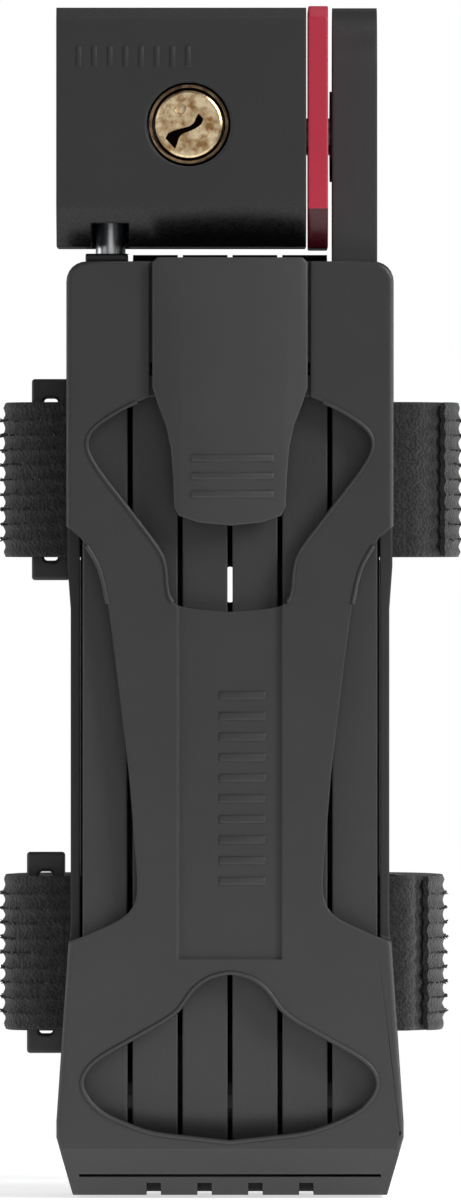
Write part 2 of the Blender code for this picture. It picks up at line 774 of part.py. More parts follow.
def make_case():
    """The steel case: solid in front, with a hollow for the bolt and the cam that a plate closes."""
    left, right = BODY_LEFT_X + CASE_INSET, CASE_RIGHT_X
    outline = body_outline(CASE_INSET)
    case = prism("lock_case", "X", outline, left, right, "hardened_steel")
    back = BODY_BACK_Y + 1
    fork, fork_right, _, _ = bolt_shapes()
    pocket_right = right - CASE_SIDE_WALL
    bush_top = NOTCH_TOP_Z + 2 * FIT_GAP + BUSH_HEIGHT
    socket_profile = [
        (BODY_BOTTOM_Z, 0),
        (BODY_BOTTOM_Z, BUSH_R + FIT_GAP),
        (bush_top, BUSH_R + FIT_GAP),
        (bush_top, SOCKET_R),
        (PIN_TIP_Z + SOCKET_DEPTH_GAP, SOCKET_R),
        (PIN_TIP_Z + SOCKET_DEPTH_GAP, 0),
    ]
    cutters = [
        rod(
            "barrel_bore",
            "Y",
            cylinder_centre(),
            BARREL_R + FIT_GAP,
            BODY_FRONT_Y,
            MECHANISM_BACK_Y - 4,
            sides=32,
        ),
        turned("pin_socket", "Z", (PIN_X, BAR_Y), socket_profile, None, 24),
        pin_notch("case_notch", 1.5),
        # the fork's channel, with room for the bolt's stroke
        block(
            "fork_channel",
            (PIN_X - FORK_TIP - 1.0, BAR_Y - FORK_HALF_WIDTH - FORK_PLAY, BOLT_Z[0] - FORK_PLAY),
            (fork_right + BOLT_THROW + FORK_PLAY, back, BOLT_Z[1] + FORK_PLAY),
        ),
        block(
            "mechanism_hollow",
            (fork_right - 2.6, CAM_FRONT_Y - FORK_PLAY, BOLT_Z[0] - FORK_PLAY),
            (BOLT_END_X + BOLT_THROW + HOLLOW_END_GAP, back, BOLT_TOP_Z + 1.2),
        ),
        block(
            "rivet_pocket",
            (pocket_right - RIVET_POCKET_WIDTH, BAR_Y - RIVET_POCKET_HALF, BODY_PIVOT_Z - RIVET_POCKET_HALF),
            (pocket_right, back, BODY_PIVOT_Z + RIVET_POCKET_HALF),
        ),
        rod(
            "case_rivet_hole",
            "X",
            (BAR_Y, BODY_PIVOT_Z),
            RIVET_D / 2 + RIVET_HOLE_PLAY,
            pocket_right - 1,
            right + 1,
        ),
        block(
            "plate_seat",
            (left + 1.8, MECHANISM_BACK_Y, CASE_SEAT_Z[0]),
            (right - 1.8, back, CASE_SEAT_Z[1]),
        ),
    ]
    for count, place in enumerate(CASE_SCREW_PLACES):
        cutters.append(
            rod(f"case_screw_hole_{count}", "Y", place, SCREW_R + FIT_GAP, MECHANISM_BACK_Y - 6, back, sides=12)
        )
    combine(case, cutters)
    return case


def make_case_plate():
    left, right = BODY_LEFT_X + CASE_INSET + 1.8 + FIT_GAP, CASE_RIGHT_X - 1.8 - FIT_GAP
    front = MECHANISM_BACK_Y + FIT_GAP
    back = front + CASE_PLATE_THICKNESS
    low, high = CASE_SEAT_Z[0] + FIT_GAP, CASE_SEAT_Z[1] - FIT_GAP
    plate = block("case_plate", (left, front, low), (right, back, high), "hardened_steel")
    screws, cutters = [], []
    for count, place in enumerate(CASE_SCREW_PLACES):
        profile = [
            (MECHANISM_BACK_Y - 5, 0),
            (MECHANISM_BACK_Y - 5, SCREW_R),
            (back - 0.9, SCREW_R),
            (back - 0.1, CASE_SCREW_HEAD_R),
            (back - 0.1, 0),
        ]
        screws.append(turned(f"case_screw_{count + 1}", "Y", place, profile, "bright_steel", 12))
        seat = [
            (front - 1, 0),
            (front - 1, SCREW_R + FIT_GAP),
            (back - 1.1, SCREW_R + FIT_GAP),
            (back + 0.1, CASE_SCREW_HEAD_R + 2 * FIT_GAP),
            (back + 1.0, CASE_SCREW_HEAD_R + 2 * FIT_GAP),
            (back + 1.0, 0),
        ]
        cutters.append(turned(f"case_screw_seat_{count}", "Y", place, seat, None, 12))
    combine(plate, cutters)
    return plate, screws


def make_body_rivet(bar_one):
    """The rivet that the lock body turns on, with its broad washer."""
    core, jacket = bar_one
    x, half_core, half_jacket = bar_x(1), CORE_THICKNESS / 2, JACKET_THICKNESS / 2
    centre = (BAR_Y, BODY_PIVOT_Z)
    inner_wall = CASE_RIGHT_X - CASE_SIDE_WALL
    profile = rivet_profile(inner_wall, x + half_core)
    rivet = turned("body_rivet", "X", centre, profile, "bright_steel")
    spacer = washer(
        "body_washer",
        "X",
        centre,
        RIVET_D / 2 + RIVET_HOLE_PLAY,
        BODY_WASHER_D / 2,
        BAND_RIGHT_X + FIT_GAP,
        x - half_core - FIT_GAP,
        "jacket_grey",
        28,
    )
    hole = rod(
        "body_rivet_hole",
        "X",
        centre,
        RIVET_D / 2 + RIVET_HOLE_PLAY,
        x - half_jacket - 1,
        x + half_jacket + 1,
    )
    opening_profile = [
        (x - half_jacket - 1, 0),
        (x - half_jacket - 1, BODY_WASHER_D / 2 + 0.4),
        (x, BODY_WASHER_D / 2 + 0.4),
        (x, HEAD_OPENING_D / 2),
        (x + half_jacket + 1, HEAD_OPENING_D / 2),
        (x + half_jacket + 1, 0),
    ]
    combine(core, [hole])
    combine(jacket, [turned("body_rivet_opening", "X", centre, opening_profile, None, 28)])
    return rivet, spacer


def coil(name, axis, centre, radius, wire_r, low, high, turns, finish):
    """A compression or torsion spring: a wire swept along a helix, with closed ends."""
    made = bmesh.new()
    per_turn, sides = 10, 5
    count = turns * per_turn
    rings = []
    for step in range(count + 1):
        angle = 2 * math.pi * step / per_turn
        place = low + (high - low) * step / count
        ring = []
        for side in range(sides):
            turn = 2 * math.pi * side / sides
            reach = radius + wire_r * math.cos(turn)
            ring.append(
                made.verts.new(
                    spread(
                        axis,
                        centre[0] + reach * math.cos(angle),
                        centre[1] + reach * math.sin(angle),
                        place + wire_r * math.sin(turn),
                    )
                )
            )
        rings.append(ring)
    for near, far in zip(rings, rings[1:]):
        for side in range(sides):
            after = (side + 1) % sides
            made.faces.new([near[side], near[after], far[after], far[side]])
    made.faces.new(rings[0])
    made.faces.new(rings[-1])
    return add_object(name, made, finish, smooth=True)


def make_bolt_spring():
    start = BOLT_END_X + 2 * FIT_GAP
    end = BOLT_END_X + BOLT_THROW + HOLLOW_END_GAP - 2 * FIT_GAP
    centre = ((BOLT_FRONT_Y + BOLT_BACK_Y) / 2, BOLT_Z[1] + 1)
    return coil("bolt_spring", "X", centre, 1.0, 0.2, start, end, 4, "spring_steel")


def make_bush():
    low = NOTCH_TOP_Z + 1.5 + FIT_GAP
    return washer(
        "pin_bush",
        "Z",
        (PIN_X, BAR_Y),
        PIN_R + FIT_GAP,
        BUSH_R,
        low,
        NOTCH_TOP_Z + BUSH_HEIGHT,
        "hardened_steel",
        24,
    )


# ------------------------------------------------------------- holster


def holster_outline():
    """The holster seen from the front, in (X, Z)."""
    top, bottom = HOLSTER_TOP_Z, HOLSTER_BOTTOM_Z
    wide, waist, foot = HOLSTER_HALF_WIDTH, WAIST_HALF_WIDTH, FOOT_HALF_WIDTH
    corner = HOLSTER_CORNER_R
    half = [
        *arc((wide - corner, top - corner), corner, 90, 0, 6),
        (wide, 35.0 * WINDOW_STRETCH),
        (waist, 28.0 * WINDOW_STRETCH),
        (waist, -23.0 * WINDOW_STRETCH),
        (foot, bottom + 11.9),
        (foot, bottom + 9.4),
        (foot - 2.6, bottom),
    ]
    return mirrored(half)


def stretched(half_outline):
    """A right half drawn for the standard bars, fitted to these bars."""
    return [(u * WINDOW_SPREAD, v * WINDOW_STRETCH) for u, v in half_outline]


# Right halves of the windows in (X, Z), top to bottom. The front one hangs from the tab's pocket.
FRONT_WINDOW = [
    (u * WINDOW_SPREAD, TAB_POCKET_BOTTOM_Z - drop)
    for u, drop in (
        (0.0, 0.0),
        (12.9, 0.0),
        (16.9, 1.6),
        (21.4, 4.4),
        (22.9, 6.4),
        (22.9, 8.8),
        (20.9, 12.1),
        (16.0, 18.3),
        (10.9, 25.0),
        (10.2, 27.5),
        (10.0, 33.0),
        (6.0, 34.0),
        (0.0, 34.4),
    )
]
SIDE_WINDOW = stretched(
    [
        (29.0, 42.6),
        (24.6, 40.7),
        (20.8, 35.0),
        (19.4, 28.0),
        (18.0, 17.0),
        (16.2, 2.0),
        (14.9, -14.0),
        (14.8, -18.2),
        (16.4, -21.2),
        (24.4, -24.8),
        (29.0, -26.2),
    ]
)
BOTTOM_WINDOW = stretched(
    [
        (0.0, -30.1),
        (3.4, -30.7),
        (6.3, -33.0),
        (8.4, -36.6),
        (21.6, -44.0),
        (23.6, -46.4),
        (23.8, -49.0),
        (21.0, -52.6),
        (13.0, -55.9),
        (0.0, -57.3),
    ]
)
PANEL_Z = (-28.0 * WINDOW_STRETCH, TAB_POCKET_BOTTOM_Z - 32.0)


def make_shell():
    """The holster's body: side walls, front and floor in one moulding, open at the top."""
    shell = prism("holster_shell", "Y", holster_outline(), 0, FRONT_Y, "holster_black")
    cavity_back = 1
    floor = HOLSTER_BOTTOM_Z + HOLSTER_FLOOR
    cavity = block(
        "holster_cavity",
        (-CAVITY_HALF_WIDTH, CAVITY_FRONT_Y, floor),
        (CAVITY_HALF_WIDTH, cavity_back, HOLSTER_TOP_Z + 1),
    )
    depth, height = FOOT_CHAMFER
    chamfer = prism(
        "foot_chamfer",
        "X",
        [
            (FRONT_Y - depth, HOLSTER_BOTTOM_Z + 2 * height),
            (FRONT_Y + 2 * depth, HOLSTER_BOTTOM_Z - height),
            (FRONT_Y - depth, HOLSTER_BOTTOM_Z - height),
        ],
        -FOOT_HALF_WIDTH - 1,
        FOOT_HALF_WIDTH + 1,
    )
    through = (FRONT_Y - 1, CAVITY_FRONT_Y + 0.5)
    front_window = prism("front_window", "Y", mirrored(softened(FRONT_WINDOW, 2)), *through)
    bottom_window = prism("bottom_window", "Y", mirrored(softened(BOTTOM_WINDOW)), *through)
    side_window = softened(SIDE_WINDOW)
    right_window = prism("right_window", "Y", side_window, FRONT_Y - 1, SIDE_WINDOW_BACK_Y)
    left_window = prism(
        "left_window", "Y", [(-u, v) for u, v in side_window], FRONT_Y - 1, SIDE_WINDOW_BACK_Y
    )
    panel = block(
        "panel_recess",
        (-PANEL_HALF_WIDTH, FRONT_Y - 1, PANEL_Z[0]),
        (PANEL_HALF_WIDTH, FRONT_Y + PANEL_RECESS, PANEL_Z[1]),
    )
    pocket_half = TAB_HALF_WIDTH + TAB_POCKET_SIDE_GAP
    tab_pocket = block(
        "tab_pocket",
        (-pocket_half, FRONT_Y - 1, TAB_POCKET_BOTTOM_Z - 1),
        (pocket_half, TAB_BACK_Y + TAB_GAP, HOLSTER_TOP_Z + 1),
    )
    lug_window = block(
        "lug_window",
        (-TAB_LUG_X[1] - 0.6, FRONT_Y - 1, TAB_POCKET_BOTTOM_Z - 1),
        (TAB_LUG_X[1] + 0.6, CAVITY_FRONT_Y + 0.5, TAB_PIVOT_Z + TAB_LUG_R + 0.8),
    )
    pin_hole = rod(
        "tab_pin_hole",
        "X",
        (TAB_PIVOT_Y, TAB_PIVOT_Z),
        TAB_PIN_R + 0.2,
        -TAB_HALF_WIDTH - 3.3,
        TAB_HALF_WIDTH + 3.3,
        sides=12,
    )
    cutters = [
        cavity,
        chamfer,
        front_window,
        bottom_window,
        right_window,
        left_window,
        panel,
        tab_pocket,
        lug_window,
        pin_hole,
    ]
    for count in range(DRAIN_COUNT):
        x = (count - (DRAIN_COUNT - 1) / 2) * DRAIN_PITCH
        cutters.append(
            block(
                f"drain_{count}",
                (x - DRAIN_SIZE[0] / 2, FRONT_Y, HOLSTER_BOTTOM_Z - 1),
                (x + DRAIN_SIZE[0] / 2, -BACK_THICKNESS - 3, HOLSTER_BOTTOM_Z + DRAIN_SIZE[1]),
            )
        )
    for name, middle in STRAP_HEIGHTS.items():
        cutters.append(
            block(
                f"strap_notch_{name}",
                (-FOOT_HALF_WIDTH - 1, -BACK_THICKNESS - FIT_GAP, middle - STRAP_WIDTH / 2 - 0.5),
                (FOOT_HALF_WIDTH + 1, 1, middle + STRAP_WIDTH / 2 + 0.5),
            )
        )
    for count, (side, z) in enumerate(holster_screw_places()):
        seat = holster_half_width(z) - SCREW_HEAD_HEIGHT
        profile = [
            (side * (CAVITY_HALF_WIDTH - 1), 0),
            (side * (CAVITY_HALF_WIDTH - 1), SCREW_R + FIT_GAP),
            (side * seat, SCREW_R + FIT_GAP),
            (side * seat, SCREW_HEAD_R + FIT_GAP),
            (side * (FOOT_HALF_WIDTH + 1), SCREW_HEAD_R + FIT_GAP),
            (side * (FOOT_HALF_WIDTH + 1), 0),
        ]
        place = (-BACK_THICKNESS / 2, z)
        cutters.append(turned(f"shell_screw_seat_{count}", "X", place, profile, None, 12))
    combine(shell, cutters)
    return shell


def holster_half_width(z):
    """Half the holster's width at a height, read off its outline."""
    half = [point for point in holster_outline() if point[0] > 0]
    for (upper_x, upper_z), (lower_x, lower_z) in zip(half, half[1:]):
        if lower_z <= z <= upper_z:
            share = (z - lower_z) / (upper_z - lower_z)
            return lower_x + share * (upper_x - lower_x)
    return HOLSTER_HALF_WIDTH


def holster_screw_places():
    return [(side, z) for side in (-1, 1) for z in SCREW_HEIGHTS]


def make_back():
    """The plate against the bicycle frame, with bolt slots and channels for the straps."""
    half = CAVITY_HALF_WIDTH - FIT_GAP
    bottom = HOLSTER_BOTTOM_Z + HOLSTER_FLOOR + FIT_GAP
    back = block("holster_back", (-half, -BACK_THICKNESS, bottom), (half, 0, HOLSTER_TOP_Z - 1), "holster_black")
    cutters = []
    width, length = BOLT_SLOT
    for count, side in enumerate((-1, 1)):
        middle = side * BOLT_SLOT_SPACING / 2
        straight = (length - width) / 2
        outline = arc((0, middle + straight), width / 2, 0, 180, 6) + arc(
            (0, middle - straight), width / 2, 180, 360, 6
        )
        cutters.append(prism(f"bolt_slot_{count}", "Y", outline, -BACK_THICKNESS - 1, 1))
    for name, middle in STRAP_HEIGHTS.items():
        cutters.append(
            block(
                f"strap_channel_{name}",
                (-half - 1, -BACK_THICKNESS - 1, middle - STRAP_WIDTH / 2 - 0.5),
                (half + 1, -STRAP_WALL, middle + STRAP_WIDTH / 2 + 0.5),
            )
        )
    for count, (side, z) in enumerate(holster_screw_places()):
        reach = sorted((side * (half - SCREW_LENGTH), side * (half + 1)))
        cutters.append(
            rod(f"back_screw_hole_{count}", "X", (-BACK_THICKNESS / 2, z), SCREW_R + FIT_GAP, *reach, sides=12)
        )
    combine(back, cutters)
    return back


def make_holster_screw(number, side, z):
    outer = holster_half_width(z) - 0.1
    seat = holster_half_width(z) - SCREW_HEAD_HEIGHT + 0.1
    tip = CAVITY_HALF_WIDTH - FIT_GAP - SCREW_LENGTH + 1.5
    profile = [
        (side * tip, 0),
        (side * tip, SCREW_R),
        (side * seat, SCREW_R),
        (side * seat, SCREW_HEAD_R),
        (side * outer, SCREW_HEAD_R - 0.2),
        (side * outer, 0),
    ]
    return turned(f"holster_screw_{number}", "X", (-BACK_THICKNESS / 2, z), profile, "bright_steel", 12)


def tab_outline():
    half = [
        (TAB_HALF_WIDTH - 0.8, TAB_TOP_Z),
        (TAB_HALF_WIDTH, TAB_TOP_Z - 0.8),
        (TAB_HALF_WIDTH, TAB_PIVOT_Z - 3.0),
        (11.4, TAB_PIVOT_Z - 6.1),
        (10.3, TAB_PIVOT_Z - 8.9),
        (9.5, TAB_PIVOT_Z - 12.5),
        (9.1, TAB_PIVOT_Z - 17.0),
        (8.9, TAB_PIVOT_Z - 22.1),
        (8.2, TAB_PIVOT_Z - 23.5),
        (5.0, TAB_PIVOT_Z - 24.6),
        (0.0, TAB_PIVOT_Z - 25.1),
    ]
    return mirrored(half)


def make_tab():
    """The release tab: press its lower end and its upper end lifts off the stack."""
    tab = prism("release_tab", "Y", tab_outline(), TAB_BACK_Y, TAB_FRONT_Y, "tab_grey")
    pieces = []
    for count, side in enumerate((-1, 1)):
        low, high = sorted((side * TAB_LUG_X[0], side * TAB_LUG_X[1]))
        outline = [
            (TAB_BACK_Y - 0.8, TAB_PIVOT_Z - TAB_LUG_R),
            *arc((TAB_PIVOT_Y, TAB_PIVOT_Z), TAB_LUG_R, -90, 90, 6),
            (TAB_BACK_Y - 0.8, TAB_PIVOT_Z + TAB_LUG_R),
        ]
        pieces.append(prism(f"tab_lug_{count}", "X", outline, low, high))
    combine(tab, pieces, "UNION")
    hole = rod(
        "tab_lug_hole",
        "X",
        (TAB_PIVOT_Y, TAB_PIVOT_Z),
        TAB_PIN_R + 0.2,
        -TAB_LUG_X[1] - 1,
        TAB_LUG_X[1] + 1,
        sides=12,
    )
    groove_half = TAB_LUG_X[0] - 0.4
    spring_groove = rod(
        "spring_groove",
        "X",
        (TAB_PIVOT_Y, TAB_PIVOT_Z),
        TAB_SPRING_R + 2 * FIT_GAP,
        -groove_half,
        groove_half,
        sides=16,
    )
    combine(tab, [hole, spring_groove])
    return tab


def make_tab_pin():
    half = TAB_HALF_WIDTH + 3.0
    return rod(
        "tab_pivot_pin", "X", (TAB_PIVOT_Y, TAB_PIVOT_Z), TAB_PIN_R, -half, half, "bright_steel", 12
    )


def make_tab_spring():
    half = TAB_LUG_X[0] - 1.2
    return coil(
        "tab_spring",
        "X",
        (TAB_PIVOT_Y, TAB_PIVOT_Z),
        TAB_SPRING_R - 0.2,
        TAB_SPRING_WIRE_R,
        -half,
        half,
        TAB_SPRING_TURNS,
        "spring_steel",
    )


# -------------------------------------------------------------- straps


def smooth_run(points, per_span):
    """A smooth closed run through the points given (Catmull-Rom)."""
    out = []
    count = len(points)
    for index in range(count):
        before, start, end, after = (Vector(points[(index + k) % count]) for k in (-1, 0, 1, 2))
        for step in range(per_span):
            t = step / per_span
            out.append(
                0.5
                * (
                    2 * start
                    + (end - before) * t
                    + (2 * before - 5 * start + 4 * end - after) * t * t
                    + (3 * start - before - 3 * end + after) * t**3
                )
            )
    return out


def offset_run(run, distance):
    """A closed run moved sideways; a positive distance moves a counter-clockwise run outwards."""
    out = []
    count = len(run)
    for index, point in enumerate(run):
        along = (run[(index + 1) % count] - run[index - 1]).normalized()
        out.append(point + distance * Vector((along.y, -along.x)))
    return out


def strap_run(which):
    """Middle line of a strap in (X, Y), counter-clockwise from the left end of its run in the back plate."""
    left, right = STRAP_LEFT_X[which] - STRAP_THICKNESS / 2, STRAP_RIGHT_X[which] - STRAP_THICKNESS / 2
    front = -BACK_THICKNESS + FIT_GAP + STRAP_THICKNESS / 2
    reach = STRAP_REACH_Y
    points = [
        (-FOOT_HALF_WIDTH + 1, front),
        (-14.0, front),
        (0.0, front),
        (14.0, front),
        (FOOT_HALF_WIDTH - 1, front),
        (right - 2.4, front + 2.6),
        (right, front + 8.0),
        (right - 0.4, reach * 0.55),
        (right - 7.5, reach * 0.85),
        (0.0, reach),
        (-left + 7.5, reach * 0.85),
        (-left + 0.4, reach * 0.55),
        (-left, front + 8.0),
        (-left + 2.4, front + 2.6),
    ]
    return smooth_run(points, 4)


def band_mesh(name, outer, inner, low, high, closed, finish):
    """A strap from its outer and inner runs, standing between two heights."""
    made = bmesh.new()
    rows = [
        [made.verts.new((point.x, point.y, z)) for point in run]
        for run, z in ((outer, low), (outer, high), (inner, high), (inner, low))
    ]
    count = len(outer)
    for index in range(count if closed else count - 1):
        after = (index + 1) % count
        for row, next_row in zip(rows, rows[1:] + rows[:1]):
            made.faces.new([row[index], row[after], next_row[after], next_row[index]])
    if not closed:
        for index in (0, count - 1):
            made.faces.new([row[index] for row in rows])
    return add_object(name, made, finish)


def make_strap(which):
    middle = STRAP_HEIGHTS[which]
    low, high = middle - STRAP_WIDTH / 2, middle + STRAP_WIDTH / 2
    run = strap_run(which)
    half = STRAP_THICKNESS / 2
    strap = band_mesh(
        f"strap_{which}", offset_run(run, half), offset_run(run, -half), low, high, True, "strap_black"
    )
    # the free end lies on the outside of the loop's right side and back
    near, far = half + FIT_GAP, half + FIT_GAP + STRAP_TAIL_THICKNESS
    per_span = len(run) // 14
    first, last = 5 * per_span + 1, 9 * per_span
    tail = band_mesh(
        f"strap_{which}_tail",
        offset_run(run, far)[first:last],
        offset_run(run, near)[first:last],
        low,
        high,
        False,
        "strap_black",
    )
    width, depth, height = BUCKLE_SIZE
    x, y = BUCKLE_X[which], BUCKLE_Y
    buckle = block(
        f"strap_{which}_buckle",
        (x - width / 2, y - depth / 2, middle - height / 2),
        (x + width / 2, y + depth / 2, middle + height / 2),
        "strap_black",
    )
    window = block(
        f"buckle_window_{which}",
        (x - width / 2 + BUCKLE_BAR, y - depth, middle - height / 2 + BUCKLE_BAR * 1.6),
        (x + width / 2 - BUCKLE_BAR, y + depth, middle + height / 2 - BUCKLE_BAR * 1.6),
    )
    combine(buckle, [window])
    return strap, tail, buckle


# ------------------------------------------------------------ assembly


def make_bodies():
    body("tab_pivot", (0, TAB_PIVOT_Y, TAB_PIVOT_Z))
    body("bar_1_slide", (bar_x(1), BAR_Y, LOWER_PIVOT_Z))
    body("body_pivot", (bar_x(1), BAR_Y, BODY_PIVOT_Z), "bar_1_slide")
    body("plug_axis", (CYLINDER_X, BODY_FRONT_Y, CYLINDER_Z), "body_pivot")
    body("bolt_slide", (CYLINDER_X, BOLT_FRONT_Y, CYLINDER_Z), "body_pivot")
    parent = "bar_1_slide"
    for number in range(1, BAR_COUNT):
        middle = (bar_x(number) + bar_x(number + 1)) / 2
        name = f"bar_{number + 1}_pivot"
        body(name, (middle, BAR_Y, hinge_height(number)), parent)
        parent = name


def build():
    clear_scene()
    make_bodies()
    bars = {number: make_bar(number) for number in range(1, BAR_COUNT + 1)}
    body_of_bar = {1: "bar_1_slide", **{n: f"bar_{n}_pivot" for n in range(2, BAR_COUNT + 1)}}
    for number in range(1, BAR_COUNT):
        rivet, spacer = make_hinge(number, bars)
        join(body_of_bar[number], rivet, spacer)
    rivet, spacer = make_body_rivet(bars[1])
    join("bar_1_slide", rivet, spacer)
    for number, pieces in bars.items():
        join(body_of_bar[number], *pieces)
    join(body_of_bar[BAR_COUNT], *make_locking_pin())

    barrel, plug, wafers = make_cylinder()
    cam, cam_screw = make_cam()
    plate, case_screws = make_case_plate()
    join(
        "body_pivot",
        *make_covers(),
        make_band(),
        make_case(),
        plate,
        *case_screws,
        make_bush(),
        barrel,
        make_bolt_spring(),
    )
    join("plug_axis", plug, cam, cam_screw, *wafers)
    join("bolt_slide", make_bolt())

    make_shell()
    make_back()
    for number, (side, z) in enumerate(holster_screw_places()):
        make_holster_screw(number + 1, side, z)
    make_tab_pin()
    make_tab_spring()
    join("tab_pivot", make_tab())
    for which in STRAP_HEIGHTS:
        make_strap(which)


build()
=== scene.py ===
# %% [markdown]
# # A folding bike lock in its frame holster
# Six steel bars lie side by side in a moulded plastic holster, and the lock body sits on top of them. The frame is the
# measured model, and most places below come from its boxes. We start by loading it and keeping its overall box.

# %% Load the measured frame
import json
import math
import random

import bmesh
import bpy
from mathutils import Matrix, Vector, noise


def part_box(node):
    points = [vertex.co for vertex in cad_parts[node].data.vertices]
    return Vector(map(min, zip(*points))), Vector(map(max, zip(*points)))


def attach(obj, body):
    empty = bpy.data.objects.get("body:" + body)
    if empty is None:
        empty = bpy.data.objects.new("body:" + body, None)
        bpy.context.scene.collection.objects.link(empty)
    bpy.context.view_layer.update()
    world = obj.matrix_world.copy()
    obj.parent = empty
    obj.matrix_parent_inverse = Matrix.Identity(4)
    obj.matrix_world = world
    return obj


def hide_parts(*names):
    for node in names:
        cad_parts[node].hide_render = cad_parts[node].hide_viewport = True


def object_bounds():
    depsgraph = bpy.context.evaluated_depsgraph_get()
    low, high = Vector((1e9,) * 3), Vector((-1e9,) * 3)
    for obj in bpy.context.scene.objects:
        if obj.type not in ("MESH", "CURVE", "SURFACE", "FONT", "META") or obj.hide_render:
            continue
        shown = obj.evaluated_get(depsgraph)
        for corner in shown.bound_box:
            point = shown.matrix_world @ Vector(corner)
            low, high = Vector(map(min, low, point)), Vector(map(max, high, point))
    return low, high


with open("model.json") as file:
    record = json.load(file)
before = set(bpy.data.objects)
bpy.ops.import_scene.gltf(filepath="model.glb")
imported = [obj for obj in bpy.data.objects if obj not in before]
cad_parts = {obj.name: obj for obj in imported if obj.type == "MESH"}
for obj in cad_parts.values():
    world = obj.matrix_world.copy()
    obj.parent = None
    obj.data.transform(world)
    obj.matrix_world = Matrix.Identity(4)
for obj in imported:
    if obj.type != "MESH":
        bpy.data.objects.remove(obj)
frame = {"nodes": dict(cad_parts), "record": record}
measured_box = [list(corner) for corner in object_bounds()]
MM = 0.001
print("box, mm:", [[round(value / MM, 1) for value in corner] for corner in measured_box])

# %% [markdown]
# ## Camera
# The lock is seen straight from the front, from far enough away that its upright edges stay parallel and no underside
# shows. A long lens at two and a half metres gives that. Its focal length comes from the sensor height, the distance
# and the height that has to fit in.

# %% Camera
FRAME_HEIGHT = 192.0 * MM  # what the camera takes in, top to bottom
CAMERA_DISTANCE = 2.5
FRONT_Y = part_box("holster_shell")[0].y
PICTURE_MIDDLE = Vector((0.08 * MM, FRONT_Y, 29.5 * MM))

camera_data = bpy.data.cameras.new("picture_camera")
camera_data.sensor_fit = "VERTICAL"
camera_data.sensor_height = 36.0
camera_data.lens = camera_data.sensor_height * CAMERA_DISTANCE / FRAME_HEIGHT
camera = bpy.data.objects.new("picture_camera", camera_data)
camera.location = PICTURE_MIDDLE + Vector((0, -CAMERA_DISTANCE, 0))
camera.rotation_euler = (math.radians(90), 0, 0)
bpy.context.scene.collection.objects.link(camera)
bpy.context.scene.camera = camera
print("lens, mm:", round(camera_data.lens, 1))

# %% [markdown]
# ## Small helpers for the modelling
# An operator acts on everything that is selected, and the frame's parts come in selected. So each step first picks
# one piece. A finished piece keeps its object at the origin and its place in its mesh, as the frame's parts do.

# %% Picking and settling pieces
def pick(piece):
    """Makes this piece the only selected and the active one."""
    bpy.ops.object.select_all(action="DESELECT")
    piece.select_set(True)
    bpy.context.view_layer.objects.active = piece


def settle(piece):
    """Applies the piece's modifiers and its place."""
    pick(piece)
    for modifier in list(piece.modifiers):
        bpy.ops.object.modifier_apply(modifier=modifier.name)
    bpy.ops.object.transform_apply(location=True, rotation=True, scale=True)
    return piece


def smooth(piece, angle=35.0):
    """Shades the piece as a smooth surface, with edges that turn more than this kept sharp."""
    pick(piece)
    bpy.ops.object.shade_smooth_by_angle(angle=math.radians(angle))
    return piece


def dress(piece, material, body):
    """Gives a finished piece its material and the body that it moves with."""
    piece.data.materials.clear()
    piece.data.materials.append(material)
    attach(piece, body)
    print(f"{piece.name}: {len(piece.data.polygons)} faces, rides on {body}")
    return piece


def even_normals(piece, angle=35.0):
    """Smooth shading that leaves the broad flat faces truly flat: each corner leans to its largest face."""
    smooth(piece, angle)
    even = piece.modifiers.new("even normals", "WEIGHTED_NORMAL")
    even.mode = "FACE_AREA"
    even.weight = 90
    even.keep_sharp = True
    pick(piece)
    bpy.ops.object.modifier_apply(modifier=even.name)
    return piece


# %% [markdown]
# ## Rounded copies of measured parts
# Moulded and stamped parts never have knife edges: a tool leaves a radius of a few tenths of a millimetre, and that
# radius catches the light. The measured parts are plain solids of loose triangles. So a copy is merged into one
# surface, its flat areas are dissolved back into single faces, and a Bevel modifier rounds every edge that turns
# enough. The copy then stands for the measured part.

# %% Rounding a measured part
def merged_copy(node, name):
    """A copy of a measured part with its triangles merged into flat faces."""
    piece = bpy.data.objects.new(name, frame["nodes"][node].data.copy())
    bpy.context.scene.collection.objects.link(piece)
    pick(piece)
    bpy.ops.object.mode_set(mode="EDIT")
    bpy.ops.mesh.select_all(action="SELECT")
    bpy.ops.mesh.remove_doubles(threshold=0.01 * MM)
    bpy.ops.mesh.dissolve_limited(angle_limit=math.radians(1.0))
    bpy.ops.object.mode_set(mode="OBJECT")
    return piece


def rounded(node, name, radius, segments=3, angle=28.0, clamp=True):
    """A copy of a measured part with its edges rounded. Radius in millimetres."""
    piece = merged_copy(node, name)
    edge = piece.modifiers.new("moulded edge", "BEVEL")
    edge.width = radius * MM
    edge.segments = segments
    edge.limit_method = "ANGLE"
    edge.angle_limit = math.radians(angle)
    edge.use_clamp_overlap = clamp
    edge.miter_outer = "MITER_ARC"
    settle(piece)
    even_normals(piece)
    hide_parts(node)
    return piece

# %% [markdown]
# ## Light
# The object is black and dark grey, so it is drawn by what it reflects. A large soft box at the front right gives the
# broad faces their even grey, one at the left lifts the left edges, and a large pale wall behind the camera is what
# the metal parts mirror. The room itself is dim, so that undersides and back-turned faces fall off to black. Only the
# camera sees the world as white.

# %% Soft boxes and world
def soft_box(name, place, size, power, target=PICTURE_MIDDLE):
    light = bpy.data.lights.new(name, "AREA")
    light.shape = "RECTANGLE"
    light.size, light.size_y = size
    light.energy = power
    lamp = bpy.data.objects.new(name, light)
    lamp.location = place
    lamp.rotation_euler = (target - Vector(place)).to_track_quat("-Z", "Y").to_euler()
    bpy.context.scene.collection.objects.link(lamp)
    return lamp


